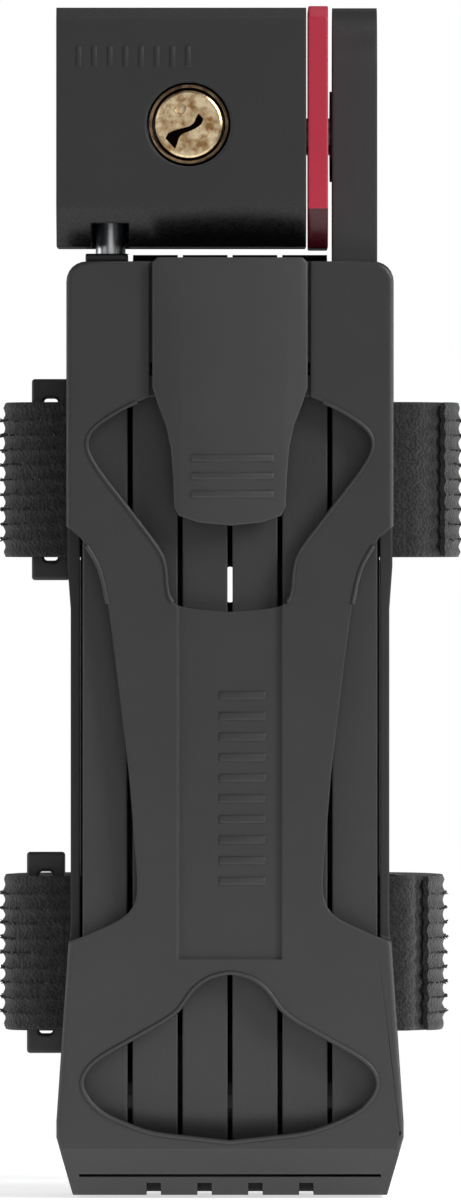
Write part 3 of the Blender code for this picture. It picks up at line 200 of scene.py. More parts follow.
soft_box("key_front_right", (0.85, -0.70, 0.60), (0.35, 0.6), 10.0)
soft_box("fill_front_left", (-0.80, -0.75, 0.25), (0.4, 0.8), 1.2)
soft_box("front_wall", (0.25, -1.60, 0.35), (1.3, 1.3), 3.2)
soft_box("rim_right", (0.90, 0.10, 0.15), (0.3, 0.8), 4.5)
soft_box("rim_left", (-0.90, 0.10, 0.15), (0.3, 0.8), 2.5)
soft_box("top", (0.10, -0.10, 1.0), (0.5, 0.4), 0.8)

world = bpy.data.worlds.new("studio")
bpy.context.scene.world = world
world.use_nodes = True
world_tree = world.node_tree
world_tree.nodes.clear()
room = world_tree.nodes.new("ShaderNodeBackground")
room.inputs["Color"].default_value = (0.96, 0.98, 1.0, 1.0)
room.inputs["Strength"].default_value = 0.14
paper = world_tree.nodes.new("ShaderNodeBackground")
paper.inputs["Color"].default_value = (1.0, 1.0, 1.0, 1.0)
paper.inputs["Strength"].default_value = 1.0
seen = world_tree.nodes.new("ShaderNodeLightPath")
either = world_tree.nodes.new("ShaderNodeMixShader")
world_out = world_tree.nodes.new("ShaderNodeOutputWorld")
world_tree.links.new(seen.outputs["Is Camera Ray"], either.inputs["Fac"])
world_tree.links.new(room.outputs[0], either.inputs[1])
world_tree.links.new(paper.outputs[0], either.inputs[2])
world_tree.links.new(either.outputs[0], world_out.inputs["Surface"])
bpy.context.scene.view_settings.view_transform = "Standard"

# %% [markdown]
# ## Node helper
# One small function adds a node, sets its own settings, and fills its inputs with a value or with another node's
# output. Colours are written as the usual web hex codes, which are sRGB, and are turned to linear light once.

# %% Adding nodes and colours
def add(tree, kind, settings=None, **inputs):
    """Adds a node. An input is named with _ for a space, or by its number, as in _0."""
    node = tree.nodes.new(kind)
    for key, value in (settings or {}).items():
        setattr(node, key, value)
    for key, value in inputs.items():
        number = key.strip("_")
        socket = node.inputs[int(number) if number.isdigit() else key.replace("_", " ")]
        if isinstance(value, bpy.types.NodeSocket):
            tree.links.new(value, socket)
        else:
            socket.default_value = value
    return node


def linear(hex_colour):
    """An sRGB hex colour as linear red, green, blue and full alpha."""
    parts = [int(hex_colour[at:at + 2], 16) / 255 for at in (1, 3, 5)]
    return [part / 12.92 if part <= 0.04045 else ((part + 0.055) / 1.055) ** 2.4 for part in parts] + [1.0]


def new_material(name):
    """A named material with an empty node tree."""
    material = bpy.data.materials.new(name)
    material.use_nodes = True
    material.node_tree.nodes.clear()
    return material, material.node_tree


def finish_material(tree, shader):
    output = tree.nodes.new("ShaderNodeOutputMaterial")
    tree.links.new(shader.outputs[0], output.inputs["Surface"])


# %% [markdown]
# ## Moulded plastics
# The holster, the tab, the covers and the bars' jackets are injection moulded in black plastic with glass fibre or
# rubber in it. The steel tool is spark eroded, which leaves a fine dull grain in the skin. So each plastic has a
# grain in its bump and roughness, slow streaks in its grey where the melt flowed, and lighter edges: partly wear from
# handling, partly a painted highlight along the rims. The grain on the real part is near 0.1 mm: it is drawn coarser,
# or it would not show.

# %% Moulded plastic
def moulded(name, dark, light, rubbed_and_highlit_edge, grain, relief, roughness, flow=14.0, spread=0.08, edge=0.5, **constants):
    """A moulded plastic: two greys that mix slowly, a lighter edge colour for wear and painted highlight, a grain in
    millimetres and its relief.
    """
    material, tree = new_material(name)
    place = add(tree, "ShaderNodeTexCoord").outputs["Object"]
    melt = add(tree, "ShaderNodeTexNoise", Vector=place, Scale=1 / (flow * MM), Detail=3.0, Roughness=0.55)
    skin = add(tree, "ShaderNodeTexNoise", Vector=place, Scale=1 / (grain * MM), Detail=2.0, Roughness=0.6)
    grey = add(tree, "ShaderNodeMix", {"data_type": "RGBA"}, _0=melt.outputs["Fac"], _6=linear(dark),
               _7=linear(light))
    # Edges that the Bevel node finds are mixed toward the lighter edge colour: partly wear, partly a painted highlight.
    soft_normal = add(tree, "ShaderNodeBevel", {"samples": 4}, Radius=edge * MM)
    true_normal = add(tree, "ShaderNodeNewGeometry").outputs["Normal"]
    turn = add(tree, "ShaderNodeVectorMath", {"operation": "DOT_PRODUCT"}, _0=soft_normal.outputs[0], _1=true_normal)
    edge_share = add(tree, "ShaderNodeMapRange", Value=turn.outputs["Value"], From_Min=0.995, From_Max=0.80,
                     To_Min=0.0, To_Max=0.75)
    broken = add(tree, "ShaderNodeMath", {"operation": "MULTIPLY"}, _0=edge_share.outputs[0], _1=skin.outputs["Fac"])
    worn_and_highlit = add(tree, "ShaderNodeMix", {"data_type": "RGBA"}, _0=broken.outputs[0], _6=grey.outputs[2],
               _7=linear(rubbed_and_highlit_edge))
    gloss = add(tree, "ShaderNodeMapRange", Value=skin.outputs["Fac"], From_Min=0.3, From_Max=0.7,
                To_Min=roughness - spread, To_Max=roughness + spread)
    bump = add(tree, "ShaderNodeBump", Height=skin.outputs["Fac"], Strength=relief, Distance=0.05 * MM,
               Normal=soft_normal.outputs[0])
    shader = add(tree, "ShaderNodeBsdfPrincipled", Base_Color=worn_and_highlit.outputs[2], Roughness=gloss.outputs[0],
                 Normal=bump.outputs[0], **constants)
    finish_material(tree, shader)
    return material


# Glass-filled nylon: stiff, dull, a little grey where the fibres reach the skin.
holster_nylon = moulded("glass_filled_nylon", "#262627", "#2f2f30", "#5c5c5d", 0.55, 0.35, 0.46, IOR=1.52)
# The tab is the same family of plastic in a finer, slightly glossier finish.
tab_nylon = moulded("satin_nylon", "#303031", "#39393a", "#646465", 0.45, 0.25, 0.40, IOR=1.52)
# Soft-touch covers: a rubbery skin that spreads the light and hides the gloss.
soft_touch = moulded("soft_touch_rubber", "#202021", "#272728", "#464647", 0.50, 0.40, 0.52, IOR=1.50,
                     Sheen_Weight=0.08, Sheen_Roughness=0.5)
# Bar jackets: a tough rubber-like coat moulded over the steel.
bar_rubber = moulded("overmoulded_bar_coat", "#29292a", "#333334", "#58585a", 0.60, 0.40, 0.50, IOR=1.50)
# Washers and bushes: acetal, self-lubricating, smoother than the nylon.
acetal = moulded("black_acetal", "#1b1b1c", "#232324", "#3c3c3d", 0.40, 0.15, 0.36, IOR=1.48)
# Buckles: polyamide, hard and a little glossy.
buckle_nylon = moulded("buckle_polyamide", "#1a1a1b", "#222223", "#454546", 0.40, 0.20, 0.38, IOR=1.53)
# The covers' lower bevels get painted shade: a smooth near-black copy of the plastic for the faces that turn down.
black_bevel_painted_shade = moulded("near_black_painted_shade", "#070708", "#0b0b0c", "#202021", 0.60, 0.08, 0.30, IOR=1.45)
# The accent band: red thermoplastic with a satin skin, and under it a dark red copy with painted shade for its bevel.
red_band = moulded("red_satin_abs", "#ab1530", "#c02440", "#d85a6c", 0.50, 0.20, 0.38, IOR=1.54)
red_painted_shade_bevel = moulded("red_bevel_painted_shade", "#3a0710", "#4c0a16", "#701826", 0.60, 0.08, 0.30, IOR=1.45)

# %% [markdown]
# ## Metals
# Brass for the plug: cast, turned and lightly brushed, so its marks run in circles round its own axis. The pin is
# ground and chromed steel. The plates and the case are hardened steel with a brushed grain along the bars, and the
# rivets and screws are zinc plated. Metals keep the default IOR: their colour is the base colour.

# %% Turned and brushed metals
CYLINDER = (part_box("cylinder_barrel")[0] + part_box("cylinder_barrel")[1]) / 2


def turned_metal(name, dark, light, roughness, ring, relief, centre):
    """A metal turned on a lathe: fine rings round an axis that runs front to back through the centre."""
    material, tree = new_material(name)
    place = add(tree, "ShaderNodeTexCoord").outputs["Object"]
    centred = add(tree, "ShaderNodeMapping", Vector=place, Location=(-centre.x, 0.0, -centre.z))
    flat = add(tree, "ShaderNodeVectorMath", {"operation": "MULTIPLY"}, _0=centred.outputs[0], _1=(1.0, 0.0, 1.0))
    radius = add(tree, "ShaderNodeVectorMath", {"operation": "LENGTH"}, _0=flat.outputs[0])
    rings = add(tree, "ShaderNodeTexNoise", {"noise_dimensions": "1D"}, W=radius.outputs["Value"],
                Scale=1 / (ring * MM), Detail=2.0)
    tarnish = add(tree, "ShaderNodeTexNoise", Vector=place, Scale=1 / (2.2 * MM), Detail=4.0, Roughness=0.6)
    tone = add(tree, "ShaderNodeMapRange", Value=tarnish.outputs["Fac"], From_Min=0.38, From_Max=0.60)
    colour = add(tree, "ShaderNodeMix", {"data_type": "RGBA"}, _0=tone.outputs[0], _6=linear(dark), _7=linear(light))
    gloss = add(tree, "ShaderNodeMapRange", Value=rings.outputs["Fac"], From_Min=0.3, From_Max=0.7,
                To_Min=roughness - 0.06, To_Max=roughness + 0.08)
    bump = add(tree, "ShaderNodeBump", Height=rings.outputs["Fac"], Strength=relief, Distance=0.02 * MM)
    shader = add(tree, "ShaderNodeBsdfPrincipled", Base_Color=colour.outputs[2], Roughness=gloss.outputs[0],
                 Metallic=1.0, Normal=bump.outputs[0])
    finish_material(tree, shader)
    return material


def brushed_metal(name, dark, light, roughness, grain, relief, stretch=(1.0, 1.0, 0.06)):
    """A metal with straight marks: a noise drawn out along one axis."""
    material, tree = new_material(name)
    place = add(tree, "ShaderNodeTexCoord").outputs["Object"]
    drawn = add(tree, "ShaderNodeMapping", Vector=place, Scale=stretch)
    marks = add(tree, "ShaderNodeTexNoise", Vector=drawn.outputs[0], Scale=1 / (grain * MM), Detail=3.0)
    patches = add(tree, "ShaderNodeTexNoise", Vector=place, Scale=1 / (9.0 * MM), Detail=3.0)
    colour = add(tree, "ShaderNodeMix", {"data_type": "RGBA"}, _0=patches.outputs["Fac"], _6=linear(dark),
                 _7=linear(light))
    gloss = add(tree, "ShaderNodeMapRange", Value=marks.outputs["Fac"], From_Min=0.3, From_Max=0.7,
                To_Min=roughness - 0.05, To_Max=roughness + 0.08)
    bump = add(tree, "ShaderNodeBump", Height=marks.outputs["Fac"], Strength=relief, Distance=0.02 * MM)
    shader = add(tree, "ShaderNodeBsdfPrincipled", Base_Color=colour.outputs[2], Roughness=gloss.outputs[0],
                 Metallic=1.0, Normal=bump.outputs[0])
    finish_material(tree, shader)
    return material


brass = turned_metal("turned_brass", "#9c7448", "#f2dcb4", 0.30, 0.45, 0.18, CYLINDER)
# The keyway's walls and floor get a dark brown copy of the brass: painted shade inside the slot.
ward_shade = turned_metal("keyway_brass_painted_shade", "#1c1209", "#38261a", 0.55, 0.45, 0.30, CYLINDER)
rim_steel = turned_metal("bronzed_rim_steel", "#5c4a3a", "#a58a6a", 0.30, 0.25, 0.2, CYLINDER)
chromed_pin = brushed_metal("ground_chromed_steel", "#d2d4d8", "#f2f3f5", 0.33, 0.5, 0.15, (1.0, 1.0, 12.0))
plate_steel = brushed_metal("hardened_plate_steel", "#6e7074", "#85878b", 0.36, 0.35, 0.25)
zinc_steel = brushed_metal("zinc_plated_steel", "#a4a7a9", "#c2c4c5", 0.28, 0.6, 0.12, (1.0, 1.0, 1.0))
black_oxide = brushed_metal("black_oxide_steel", "#121213", "#1e1e20", 0.45, 0.5, 0.15, (1.0, 1.0, 1.0))
spring_wire = brushed_metal("drawn_spring_wire", "#7f8286", "#9a9ca0", 0.26, 0.3, 0.10, (0.2, 1.0, 1.0))

# %% [markdown]
# ## Hook-and-loop fabric
# The straps are black polyester tape, woven, with rows of hooks along the outer face. Fibres scatter light, so the
# base is nearly black and rough with a little sheen, lighter at the tips of the pile. Threads are 0.5 mm apart.

# %% Strap fabric
def pile_fabric(name, dark, light, thread):
    material, tree = new_material(name)
    place = add(tree, "ShaderNodeTexCoord").outputs["Object"]
    threads = add(tree, "ShaderNodeTexVoronoi", Vector=place, Scale=1 / (thread * MM), Randomness=0.9)
    fluff = add(tree, "ShaderNodeTexNoise", Vector=place, Scale=1 / (1.6 * MM), Detail=4.0, Roughness=0.7)
    height = add(tree, "ShaderNodeMath", {"operation": "MULTIPLY_ADD"}, _0=fluff.outputs["Fac"], _1=0.8,
                 _2=threads.outputs["Distance"])
    share = add(tree, "ShaderNodeMapRange", Value=height.outputs[0], From_Min=0.45, From_Max=1.15)
    colour = add(tree, "ShaderNodeMix", {"data_type": "RGBA"}, _0=share.outputs[0], _6=linear(dark), _7=linear(light))
    bump = add(tree, "ShaderNodeBump", Height=height.outputs[0], Strength=0.8, Distance=0.25 * MM)
    shader = add(tree, "ShaderNodeBsdfPrincipled", Base_Color=colour.outputs[2], Roughness=0.92,
                 Normal=bump.outputs[0], Sheen_Weight=0.15, Sheen_Roughness=0.6)
    finish_material(tree, shader)
    return material


strap_pile = pile_fabric("black_loop_pile", "#060607", "#1c1c1d", 0.55)
hook_nylon = pile_fabric("black_hook_nylon", "#0a0a0b", "#2a2a2b", 0.40)
tape_weave = pile_fabric("worn_strap_face", "#0e0e0f", "#303031", 0.45)

# %% [markdown]
# ## The bars
# Six bars stand side by side. Only their coated edges and tops show through the windows, with narrow dark gaps
# between them. Each jacket's edges are rounded by 1.2 mm, as a coat that is moulded over a steel plate comes out.

# %% Bars
for number in range(1, 7):
    jacket = rounded(f"bar_{number}_jacket", f"bar_coat_{number}", 0.9, segments=4, angle=40.0)
    dress(jacket, bar_rubber, f"bar_{number}")

# %% [markdown]
# ## The holster and its tab
# The shell is one moulding with a goblet-shaped window in front, open side windows and an arched window at the foot.
# The tab hangs in a pocket over the front window. Both are rounded copies of the measured parts.

# %% Holster shell and back plate
def round_selected(piece, wanted, radius, segments):
    """Bevels only the edges for which wanted(middle, angle, edge) is true. Lengths in millimetres, angle in radians."""
    pick(piece)
    bpy.ops.object.mode_set(mode="EDIT")
    bpy.ops.mesh.select_all(action="DESELECT")
    bpy.ops.mesh.select_mode(type="EDGE")
    sheet = bmesh.from_edit_mesh(piece.data)
    for edge in sheet.edges:
        middle = (edge.verts[0].co + edge.verts[1].co) / 2
        edge.select_set(wanted(middle / MM, edge.calc_face_angle(0.0), edge))
    bmesh.update_edit_mesh(piece.data)
    bpy.ops.mesh.bevel(offset=radius * MM, segments=segments, affect="EDGES", clamp_overlap=True)
    bpy.ops.object.mode_set(mode="OBJECT")


WINDOWS_REACH = 24.0  # mm, how far the windows and the top edge stretch sideways
TOP_EDGE_REACH = 22.9
ABOVE_SIDE_WINDOWS = 43.2  # heights, mm
FRONT_WINDOW_TOP = 62.0
FOOT_SIDES = (-58.0, -27.0)


def shell_outline(middle, angle, edge):
    """The shell's outer front edges, above and below its side windows."""
    front = all(abs(corner.co.y - FRONT_Y) < 0.02 * MM for corner in edge.verts)
    low, high = FOOT_SIDES
    beside = abs(middle.x) > TOP_EDGE_REACH and (middle.z > ABOVE_SIDE_WINDOWS or low < middle.z < high)
    inside_window = abs(middle.x) < WINDOWS_REACH and middle.z < FRONT_WINDOW_TOP
    return front and beside and angle > math.radians(50) and not inside_window


shell = merged_copy("holster_shell", "holster_moulding")
round_selected(shell, shell_outline, 1.7, 5)
edge_round = shell.modifiers.new("moulded edge", "BEVEL")
edge_round.width = 0.5 * MM
edge_round.segments = 3
edge_round.limit_method = "ANGLE"
edge_round.angle_limit = math.radians(32)
edge_round.miter_outer = "MITER_ARC"
settle(shell)
even_normals(shell)
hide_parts("holster_shell")
dress(shell, holster_nylon, "holster")
back_plate = rounded("holster_back", "holster_back_plate", 0.25, segments=2)
BACK_PLATE_SPREAD = 1.011  # takes its sides across the 0.3 mm gap to the shell's side walls, where light shone through
for corner in back_plate.data.vertices:
    corner.co.x *= BACK_PLATE_SPREAD
dress(back_plate, holster_nylon, "holster")

# %% [markdown]
# ## The press tab
# The tab is crowned: its sides fall back by 0.7 mm, so that the light fades across it. The flat front is cut into
# upright strips, their edges are moved back along a parabola, and the edges are rounded last.

# %% Tab
CROWN = 0.7  # mm, how far the sides fall back
STRIP_WIDTH = 1.9  # mm
STRIPS_EACH_SIDE = 6
tab = merged_copy("release_tab", "press_tab")
tab_low, tab_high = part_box("release_tab")
tab_half = tab_high.x
pick(tab)
bpy.ops.object.mode_set(mode="EDIT")
for strip in range(-STRIPS_EACH_SIDE, STRIPS_EACH_SIDE + 1):
    bpy.ops.mesh.select_all(action="SELECT")
    bpy.ops.mesh.bisect(plane_co=(strip * STRIP_WIDTH * MM, 0, 0), plane_no=(1, 0, 0))
bpy.ops.object.mode_set(mode="OBJECT")
for corner in tab.data.vertices:
    if corner.co.y < tab_low.y + 0.05 * MM:
        corner.co.y += CROWN * MM * (corner.co.x / tab_half) ** 2
tab_edge = tab.modifiers.new("moulded edge", "BEVEL")
tab_edge.width = 0.8 * MM
tab_edge.segments = 4
tab_edge.limit_method = "ANGLE"
tab_edge.angle_limit = math.radians(30)
settle(tab)
smooth(tab, 30.0)
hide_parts("release_tab")
dress(tab, tab_nylon, "release_tab")

# %% [markdown]
# ## The lock body
# Two soft-touch covers clip over the steel case, with a red band at the side of the first bar. The front cover has a
# broad bevel under it, which turns away from the light; its down-turned faces get a near-black painted shade, and the
# band's a dark red one.

# %% Covers and band
front_cover = rounded("body_cover_front", "soft_cover_front", 0.45, segments=3, angle=25.0)
dress(front_cover, soft_touch, "lock_body")
rear_cover = rounded("body_cover_rear", "soft_cover_rear", 0.45, segments=3, angle=25.0)
dress(rear_cover, soft_touch, "lock_body")
band = rounded("accent_band", "red_band", 0.5, segments=3, angle=25.0)
dress(band, red_band, "lock_body")


def second_finish(piece, material, wanted):
    """Gives the faces for which wanted(middle, normal) is true a second material."""
    piece.data.materials.append(material)
    for face in piece.data.polygons:
        if wanted(face.center, face.normal):
            face.material_index = 1


def faces_down(middle, normal):
    return normal.z < -0.35 and normal.y < 0.2


# The cover's down-turned faces get the near-black material: painted shade.
second_finish(front_cover, black_bevel_painted_shade, faces_down)
# The band's down-turned faces get the dark red: painted shade.
second_finish(band, red_painted_shade_bevel, faces_down)
cap = rounded("locking_pin_cap", "pin_shoulder", 0.35, segments=3)
dress(cap, acetal, "bar_6")

# %% [markdown]
# ## Beads and ribs
# A thin raised bead runs round each window, where the two halves of the tool meet, and it draws the light line that
# outlines the openings. The edge loops are already in the shell: they are picked by their place, copied out and
# turned into a curve with a round section. Where the real lock carries raised marks, plain grip ribs stand instead.

# %% Window beads
def bead(name, radius, wanted):
    """A round bead on the shell's front edges between two faces, kept where wanted(x, z) in millimetres is true."""
    piece = merged_copy("holster_shell", name)
    pick(piece)
    bpy.ops.object.mode_set(mode="EDIT")
    bpy.ops.mesh.select_all(action="DESELECT")
    sheet = bmesh.from_edit_mesh(piece.data)
    sheet.select_mode = {"EDGE"}
    for edge in sheet.edges:
        middle = (edge.verts[0].co + edge.verts[1].co) / 2
        front = all(abs(corner.co.y - FRONT_Y) < 0.02 * MM for corner in edge.verts)
        turns = edge.calc_face_angle(0.0) > math.radians(60)
        edge.select_set(front and turns and wanted(middle.x / MM, middle.z / MM))
    sheet.select_flush_mode()
    bmesh.update_edit_mesh(piece.data)
    bpy.ops.mesh.select_mode(type="EDGE")
    bpy.ops.mesh.select_all(action="INVERT")
    bpy.ops.mesh.delete(type="EDGE")
    bpy.ops.object.mode_set(mode="OBJECT")
    bpy.ops.object.convert(target="CURVE")
    piece = bpy.context.active_object
    piece.data.bevel_depth = radius * MM
    piece.data.bevel_resolution = 2
    piece.data.use_fill_caps = True
    bpy.ops.object.convert(target="MESH")
    piece = bpy.context.active_object
    return smooth(piece, 50.0)


foot_bead = bead("foot_window_bead", 0.40, lambda x, z: abs(x) < 24.5 and -58.0 < z < -29.5)
dress(foot_bead, holster_nylon, "holster")
front_bead = bead("front_window_bead", 0.36, lambda x, z: abs(x) < 23.5 and 28.5 < z < 61.5 and abs(x) > 9.0)
dress(front_bead, holster_nylon, "holster")


# %% Plain ribs
def rib_row(name, first, step, count, size, radius, tilt=0.0):
    """Rounded ribs in a row. First middle, step and size in millimetres."""
    ribs = []
    for number in range(count):
        place = (Vector(first) + Vector(step) * number) * MM
        bpy.ops.object.select_all(action="DESELECT")
        bpy.ops.mesh.primitive_cube_add(size=1.0, location=place, rotation=(0.0, math.radians(tilt), 0.0))
        rib = bpy.context.active_object
        rib.scale = Vector(size) * MM
        bpy.ops.object.transform_apply(location=True, rotation=True, scale=True)
        ribs.append(rib)
    for rib in ribs:
        rib.select_set(True)
    bpy.context.view_layer.objects.active = ribs[0]
    if count > 1:
        bpy.ops.object.join()
    row = bpy.context.active_object
    row.name = name
    edge = row.modifiers.new("rounded", "BEVEL")
    edge.width = radius * MM
    edge.segments = 3
    settle(row)
    return smooth(row, 60.0)


panel_front = (FRONT_Y / MM) + 0.8
cover_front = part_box("body_cover_front")[0].y / MM
tab_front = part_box("release_tab")[0].y / MM
panel_ribs = rib_row("panel_ribs", (2.0, panel_front, 14.2), (0, 0, -3.3), 10, (7.6, 0.4, 1.4), 0.2)
dress(panel_ribs, holster_nylon, "holster")
tab_ribs = rib_row("tab_grip_ribs", (0.4, tab_front, 52.2), (0, 0, -2.9), 3, (13.2, 0.25, 1.1), 0.12)
dress(tab_ribs, tab_nylon, "release_tab")
cover_ribs = rib_row("cover_grip_ribs", (-24.2, cover_front, 116.4), (2.5, 0, 0), 8, (0.9, 0.3, 3.4), 0.14)
dress(cover_ribs, soft_touch, "lock_body")

# %% [markdown]
# ## The key cylinder
# The brass plug sits in a dark steel ring with a thin bright rim. Both are lathe work, so both are profiles turned
# full circle by a Screw modifier. The keyway is a wavy slot: a thin box is subdivided along its length, bent by a
# sine, turned, and cut out with a Boolean. A small dimple beside it marks the key's side.

# %% Turning a profile
def turned_piece(name, profile, place, axis, sides=96):
    """A profile of (radius, height) in millimetres, turned round Z, then laid along -Y if the axis is front."""
    line = bpy.data.meshes.new(name)
    line.from_pydata([(r * MM, 0.0, h * MM) for r, h in profile], [(n, n + 1) for n in range(len(profile) - 1)], [])
    piece = bpy.data.objects.new(name, line)
    bpy.context.scene.collection.objects.link(piece)
    lathe = piece.modifiers.new("lathe", "SCREW")
    lathe.steps = lathe.render_steps = sides
    lathe.use_merge_vertices = True
    lathe.merge_threshold = 0.005 * MM
    pick(piece)
    bpy.ops.object.modifier_apply(modifier=lathe.name)
    bpy.ops.object.mode_set(mode="EDIT")
    bpy.ops.mesh.select_all(action="SELECT")
    bpy.ops.mesh.remove_doubles(threshold=0.005 * MM)
    bpy.ops.mesh.normals_make_consistent(inside=False)
    bpy.ops.object.mode_set(mode="OBJECT")
    if axis == "front":
        piece.rotation_euler = (math.radians(90), 0, 0)
    piece.location = place
    settle(piece)
    return smooth(piece, 30.0)


def cut(piece, *cutters):
    """Takes the cutters out of the piece and removes them."""
    for cutter in cutters:
        hole = piece.modifiers.new("cut", "BOOLEAN")
        hole.operation = "DIFFERENCE"
        hole.solver = "EXACT"
        hole.object = cutter
        pick(piece)
        bpy.ops.object.modifier_apply(modifier=hole.name)
        bpy.data.objects.remove(cutter)
    return smooth(piece, 30.0)


# %% Plug with its keyway
plug_low, plug_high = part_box("cylinder_plug")
plug_axis = Vector((CYLINDER.x, 0.0, CYLINDER.z))
PLUG_R = (plug_high.x - plug_low.x) / 2 / MM
plug_depth = (plug_high.y - plug_low.y) / MM
plug = turned_piece("brass_plug", [
    (0.0, 0.0), (PLUG_R, 0.0), (PLUG_R, plug_depth - 0.45), (PLUG_R - 0.12, plug_depth - 0.16),
    (PLUG_R - 0.42, plug_depth), (PLUG_R - 1.0, plug_depth - 0.02), (0.0, plug_depth)],
    plug_axis + Vector((0, plug_high.y, 0)), "front")

KEYWAY_TILT = math.radians(48)
KEYWAY_LENGTH = 6.6  # mm
bpy.ops.object.select_all(action="DESELECT")
bpy.ops.mesh.primitive_cube_add(size=1.0)
keyway = bpy.context.active_object
keyway.scale = Vector((1.0, 14.0, KEYWAY_LENGTH)) * MM
bpy.ops.object.transform_apply(location=False, rotation=False, scale=True)
bpy.ops.object.mode_set(mode="EDIT")
bpy.ops.mesh.select_all(action="SELECT")
bpy.ops.mesh.subdivide(number_cuts=15)
bpy.ops.object.mode_set(mode="OBJECT")
WARD_WIDTHS = (2.3, 2.2, 1.5, 1.0, 0.9, 0.8, 0.9, 1.3, 1.2)  # mm, along the slot from its lower end
for corner in keyway.data.vertices:
    along = min(max(corner.co.z / (KEYWAY_LENGTH * MM) + 0.5, 0.0), 1.0) * (len(WARD_WIDTHS) - 1)
    step = min(int(along), len(WARD_WIDTHS) - 2)
    corner.co.x *= WARD_WIDTHS[step] + (WARD_WIDTHS[step + 1] - WARD_WIDTHS[step]) * (along - step)
    corner.co.x += 0.5 * MM * math.sin(2 * math.pi * corner.co.z / (KEYWAY_LENGTH * MM))
keyway.rotation_euler = (0.0, KEYWAY_TILT, 0.0)
keyway.location = plug_axis + Vector((-0.5 * MM, plug_low.y, -0.9 * MM))
bpy.ops.object.transform_apply(location=True, rotation=True, scale=True)
dimple = turned_piece("dimple", [(0.0, -0.35), (0.75, -0.2), (1.0, 0.1), (1.1, 1.0), (0.0, 1.0)],
                      plug_axis + Vector((-1.3 * MM, plug_low.y, 2.5 * MM)), "front", sides=32)
cut(plug, keyway, dimple)
dress(plug, brass, "key_plug")


def in_keyway(middle, normal):
    """The walls and the bottom of the slot: behind the plug's face and inside its outer surface."""
    from_axis = (middle - Vector((plug_axis.x, middle.y, plug_axis.z))).length
    return middle.y > plug_low.y + 0.9 * MM and from_axis < (PLUG_R - 0.3) * MM


# The slot's walls and floor take the dark brass: painted shade.
second_finish(plug, ward_shade, in_keyway)
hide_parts("cylinder_plug")

# %% Ring round the plug
ring_low, ring_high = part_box("cylinder_barrel")
RING_R = (ring_high.x - ring_low.x) / 2 / MM
ring_depth = (ring_high.y - ring_low.y) / MM
ring = turned_piece("cylinder_ring", [
    (PLUG_R + 0.3, 0.0), (RING_R, 0.0), (RING_R, ring_depth - 0.15), (RING_R - 0.12, ring_depth),
    (RING_R - 0.3, ring_depth - 0.05), (RING_R - 0.36, ring_depth - 0.35), (PLUG_R + 0.42, ring_depth - 0.35),
    (PLUG_R + 0.3, ring_depth - 0.6), (PLUG_R + 0.3, 0.0)],
    plug_axis + Vector((0, ring_high.y, 0)), "front")
dress(ring, rim_steel, "lock_body")
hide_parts("cylinder_barrel")

# %% [markdown]
# ## The locking pin
# The pin is turned from bar: a foot, a shank, a neck for the bolt and a chamfered tip. It is ground and chromed, so
# it reflects the soft boxes as bright stripes.

# %% Pin
pin_low, pin_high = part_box("locking_pin")
pin_axis = Vector(((pin_low.x + pin_high.x) / 2, (pin_low.y + pin_high.y) / 2, 0.0))
body_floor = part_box("body_cover_front")[0].z / MM
neck = (body_floor + 8.4, body_floor + 12.2)
foot, tip = pin_low.z / MM, pin_high.z / MM
pin = turned_piece("chromed_locking_pin", [
    (0.0, foot), (3.1, foot), (3.1, foot + 1.3), (2.4, foot + 1.3), (2.4, neck[0]), (1.5, neck[0] + 0.1),
    (1.5, neck[1] - 0.1), (2.4, neck[1]), (2.4, tip - 1.2), (2.2, tip - 0.7), (1.2, tip), (0.0, tip)],
    pin_axis, "up", sides=64)
dress(pin, chromed_pin, "bar_6")
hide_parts("locking_pin")

# %% [markdown]
# ## The straps
# Each strap is 25 mm hook-and-loop tape, threaded through the back plate and round the frame tube, with its free end
# pressed on the outside. It is one flat strip bent to a line, so a grid is laid out flat, each column of it is moved
# to its place along that line, and Solidify gives it a thickness. The hooks stand in rows 2.4 mm apart, so the strip
# is ribbed across its width, and small tufts of pile along the rows break up its outline.

# %% The line that a strap follows
ROW_PITCH = 2.4  # mm between rows of hooks


def strap_line(which):
    """Closed middle line of a strap in X and Y, in millimetres, from the measured strap's box."""
    low, high = (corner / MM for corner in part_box(f"strap_{which}"))
    left, right, front, reach = -low.x - 1.0, high.x - 1.0, low.y + 1.0, high.y - 1.0
    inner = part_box("holster_shell")[1].x / MM - 1.0
    stops = [
        (-inner, front), (-14.0, front), (0.0, front), (14.0, front), (inner, front),
        (right - 2.4, front + 2.6), (right, front + 8.0), (right - 0.4, reach * 0.55), (right - 7.5, reach * 0.85),
        (0.0, reach), (-left + 7.5, reach * 0.85), (-left + 0.4, reach * 0.55), (-left, front + 8.0),
        (-left + 2.4, front + 2.6)]
    line = []
    for number in range(len(stops)):
        before, start, end, after = (Vector(stops[(number + shift) % len(stops)]) for shift in (-1, 0, 1, 2))
        for step in range(16):
            t = step / 16
            line.append(0.5 * (2 * start + (end - before) * t + (2 * before - 5 * start + 4 * end - after) * t * t
                               + (3 * start - before - 3 * end + after) * t ** 3))
    return line


def measured_line(line, closed):
    """The line with its running length and its outward normal at each point."""
    count = len(line)
    found, length = [], 0.0
    for number, point in enumerate(line):
        ahead = line[(number + 1) % count] if closed or number < count - 1 else point
        behind = line[number - 1] if closed or number > 0 else point
        along = (ahead - behind).normalized()
        found.append((length, point, Vector((along.y, -along.x))))
        length += (line[(number + 1) % count] - point).length if closed or number < count - 1 else 0.0
    if closed:
        found.append((length, line[0], found[0][2]))
    return found


def at(found, length):
    """Point and normal at a running length."""
    for near, far in zip(found, found[1:]):
        if near[0] <= length <= far[0] + 1e-9:
            share = (length - near[0]) / max(far[0] - near[0], 1e-9)
            return near[1].lerp(far[1], share), near[2].lerp(far[2], share).normalized()
    return found[-1][1], found[-1][2]


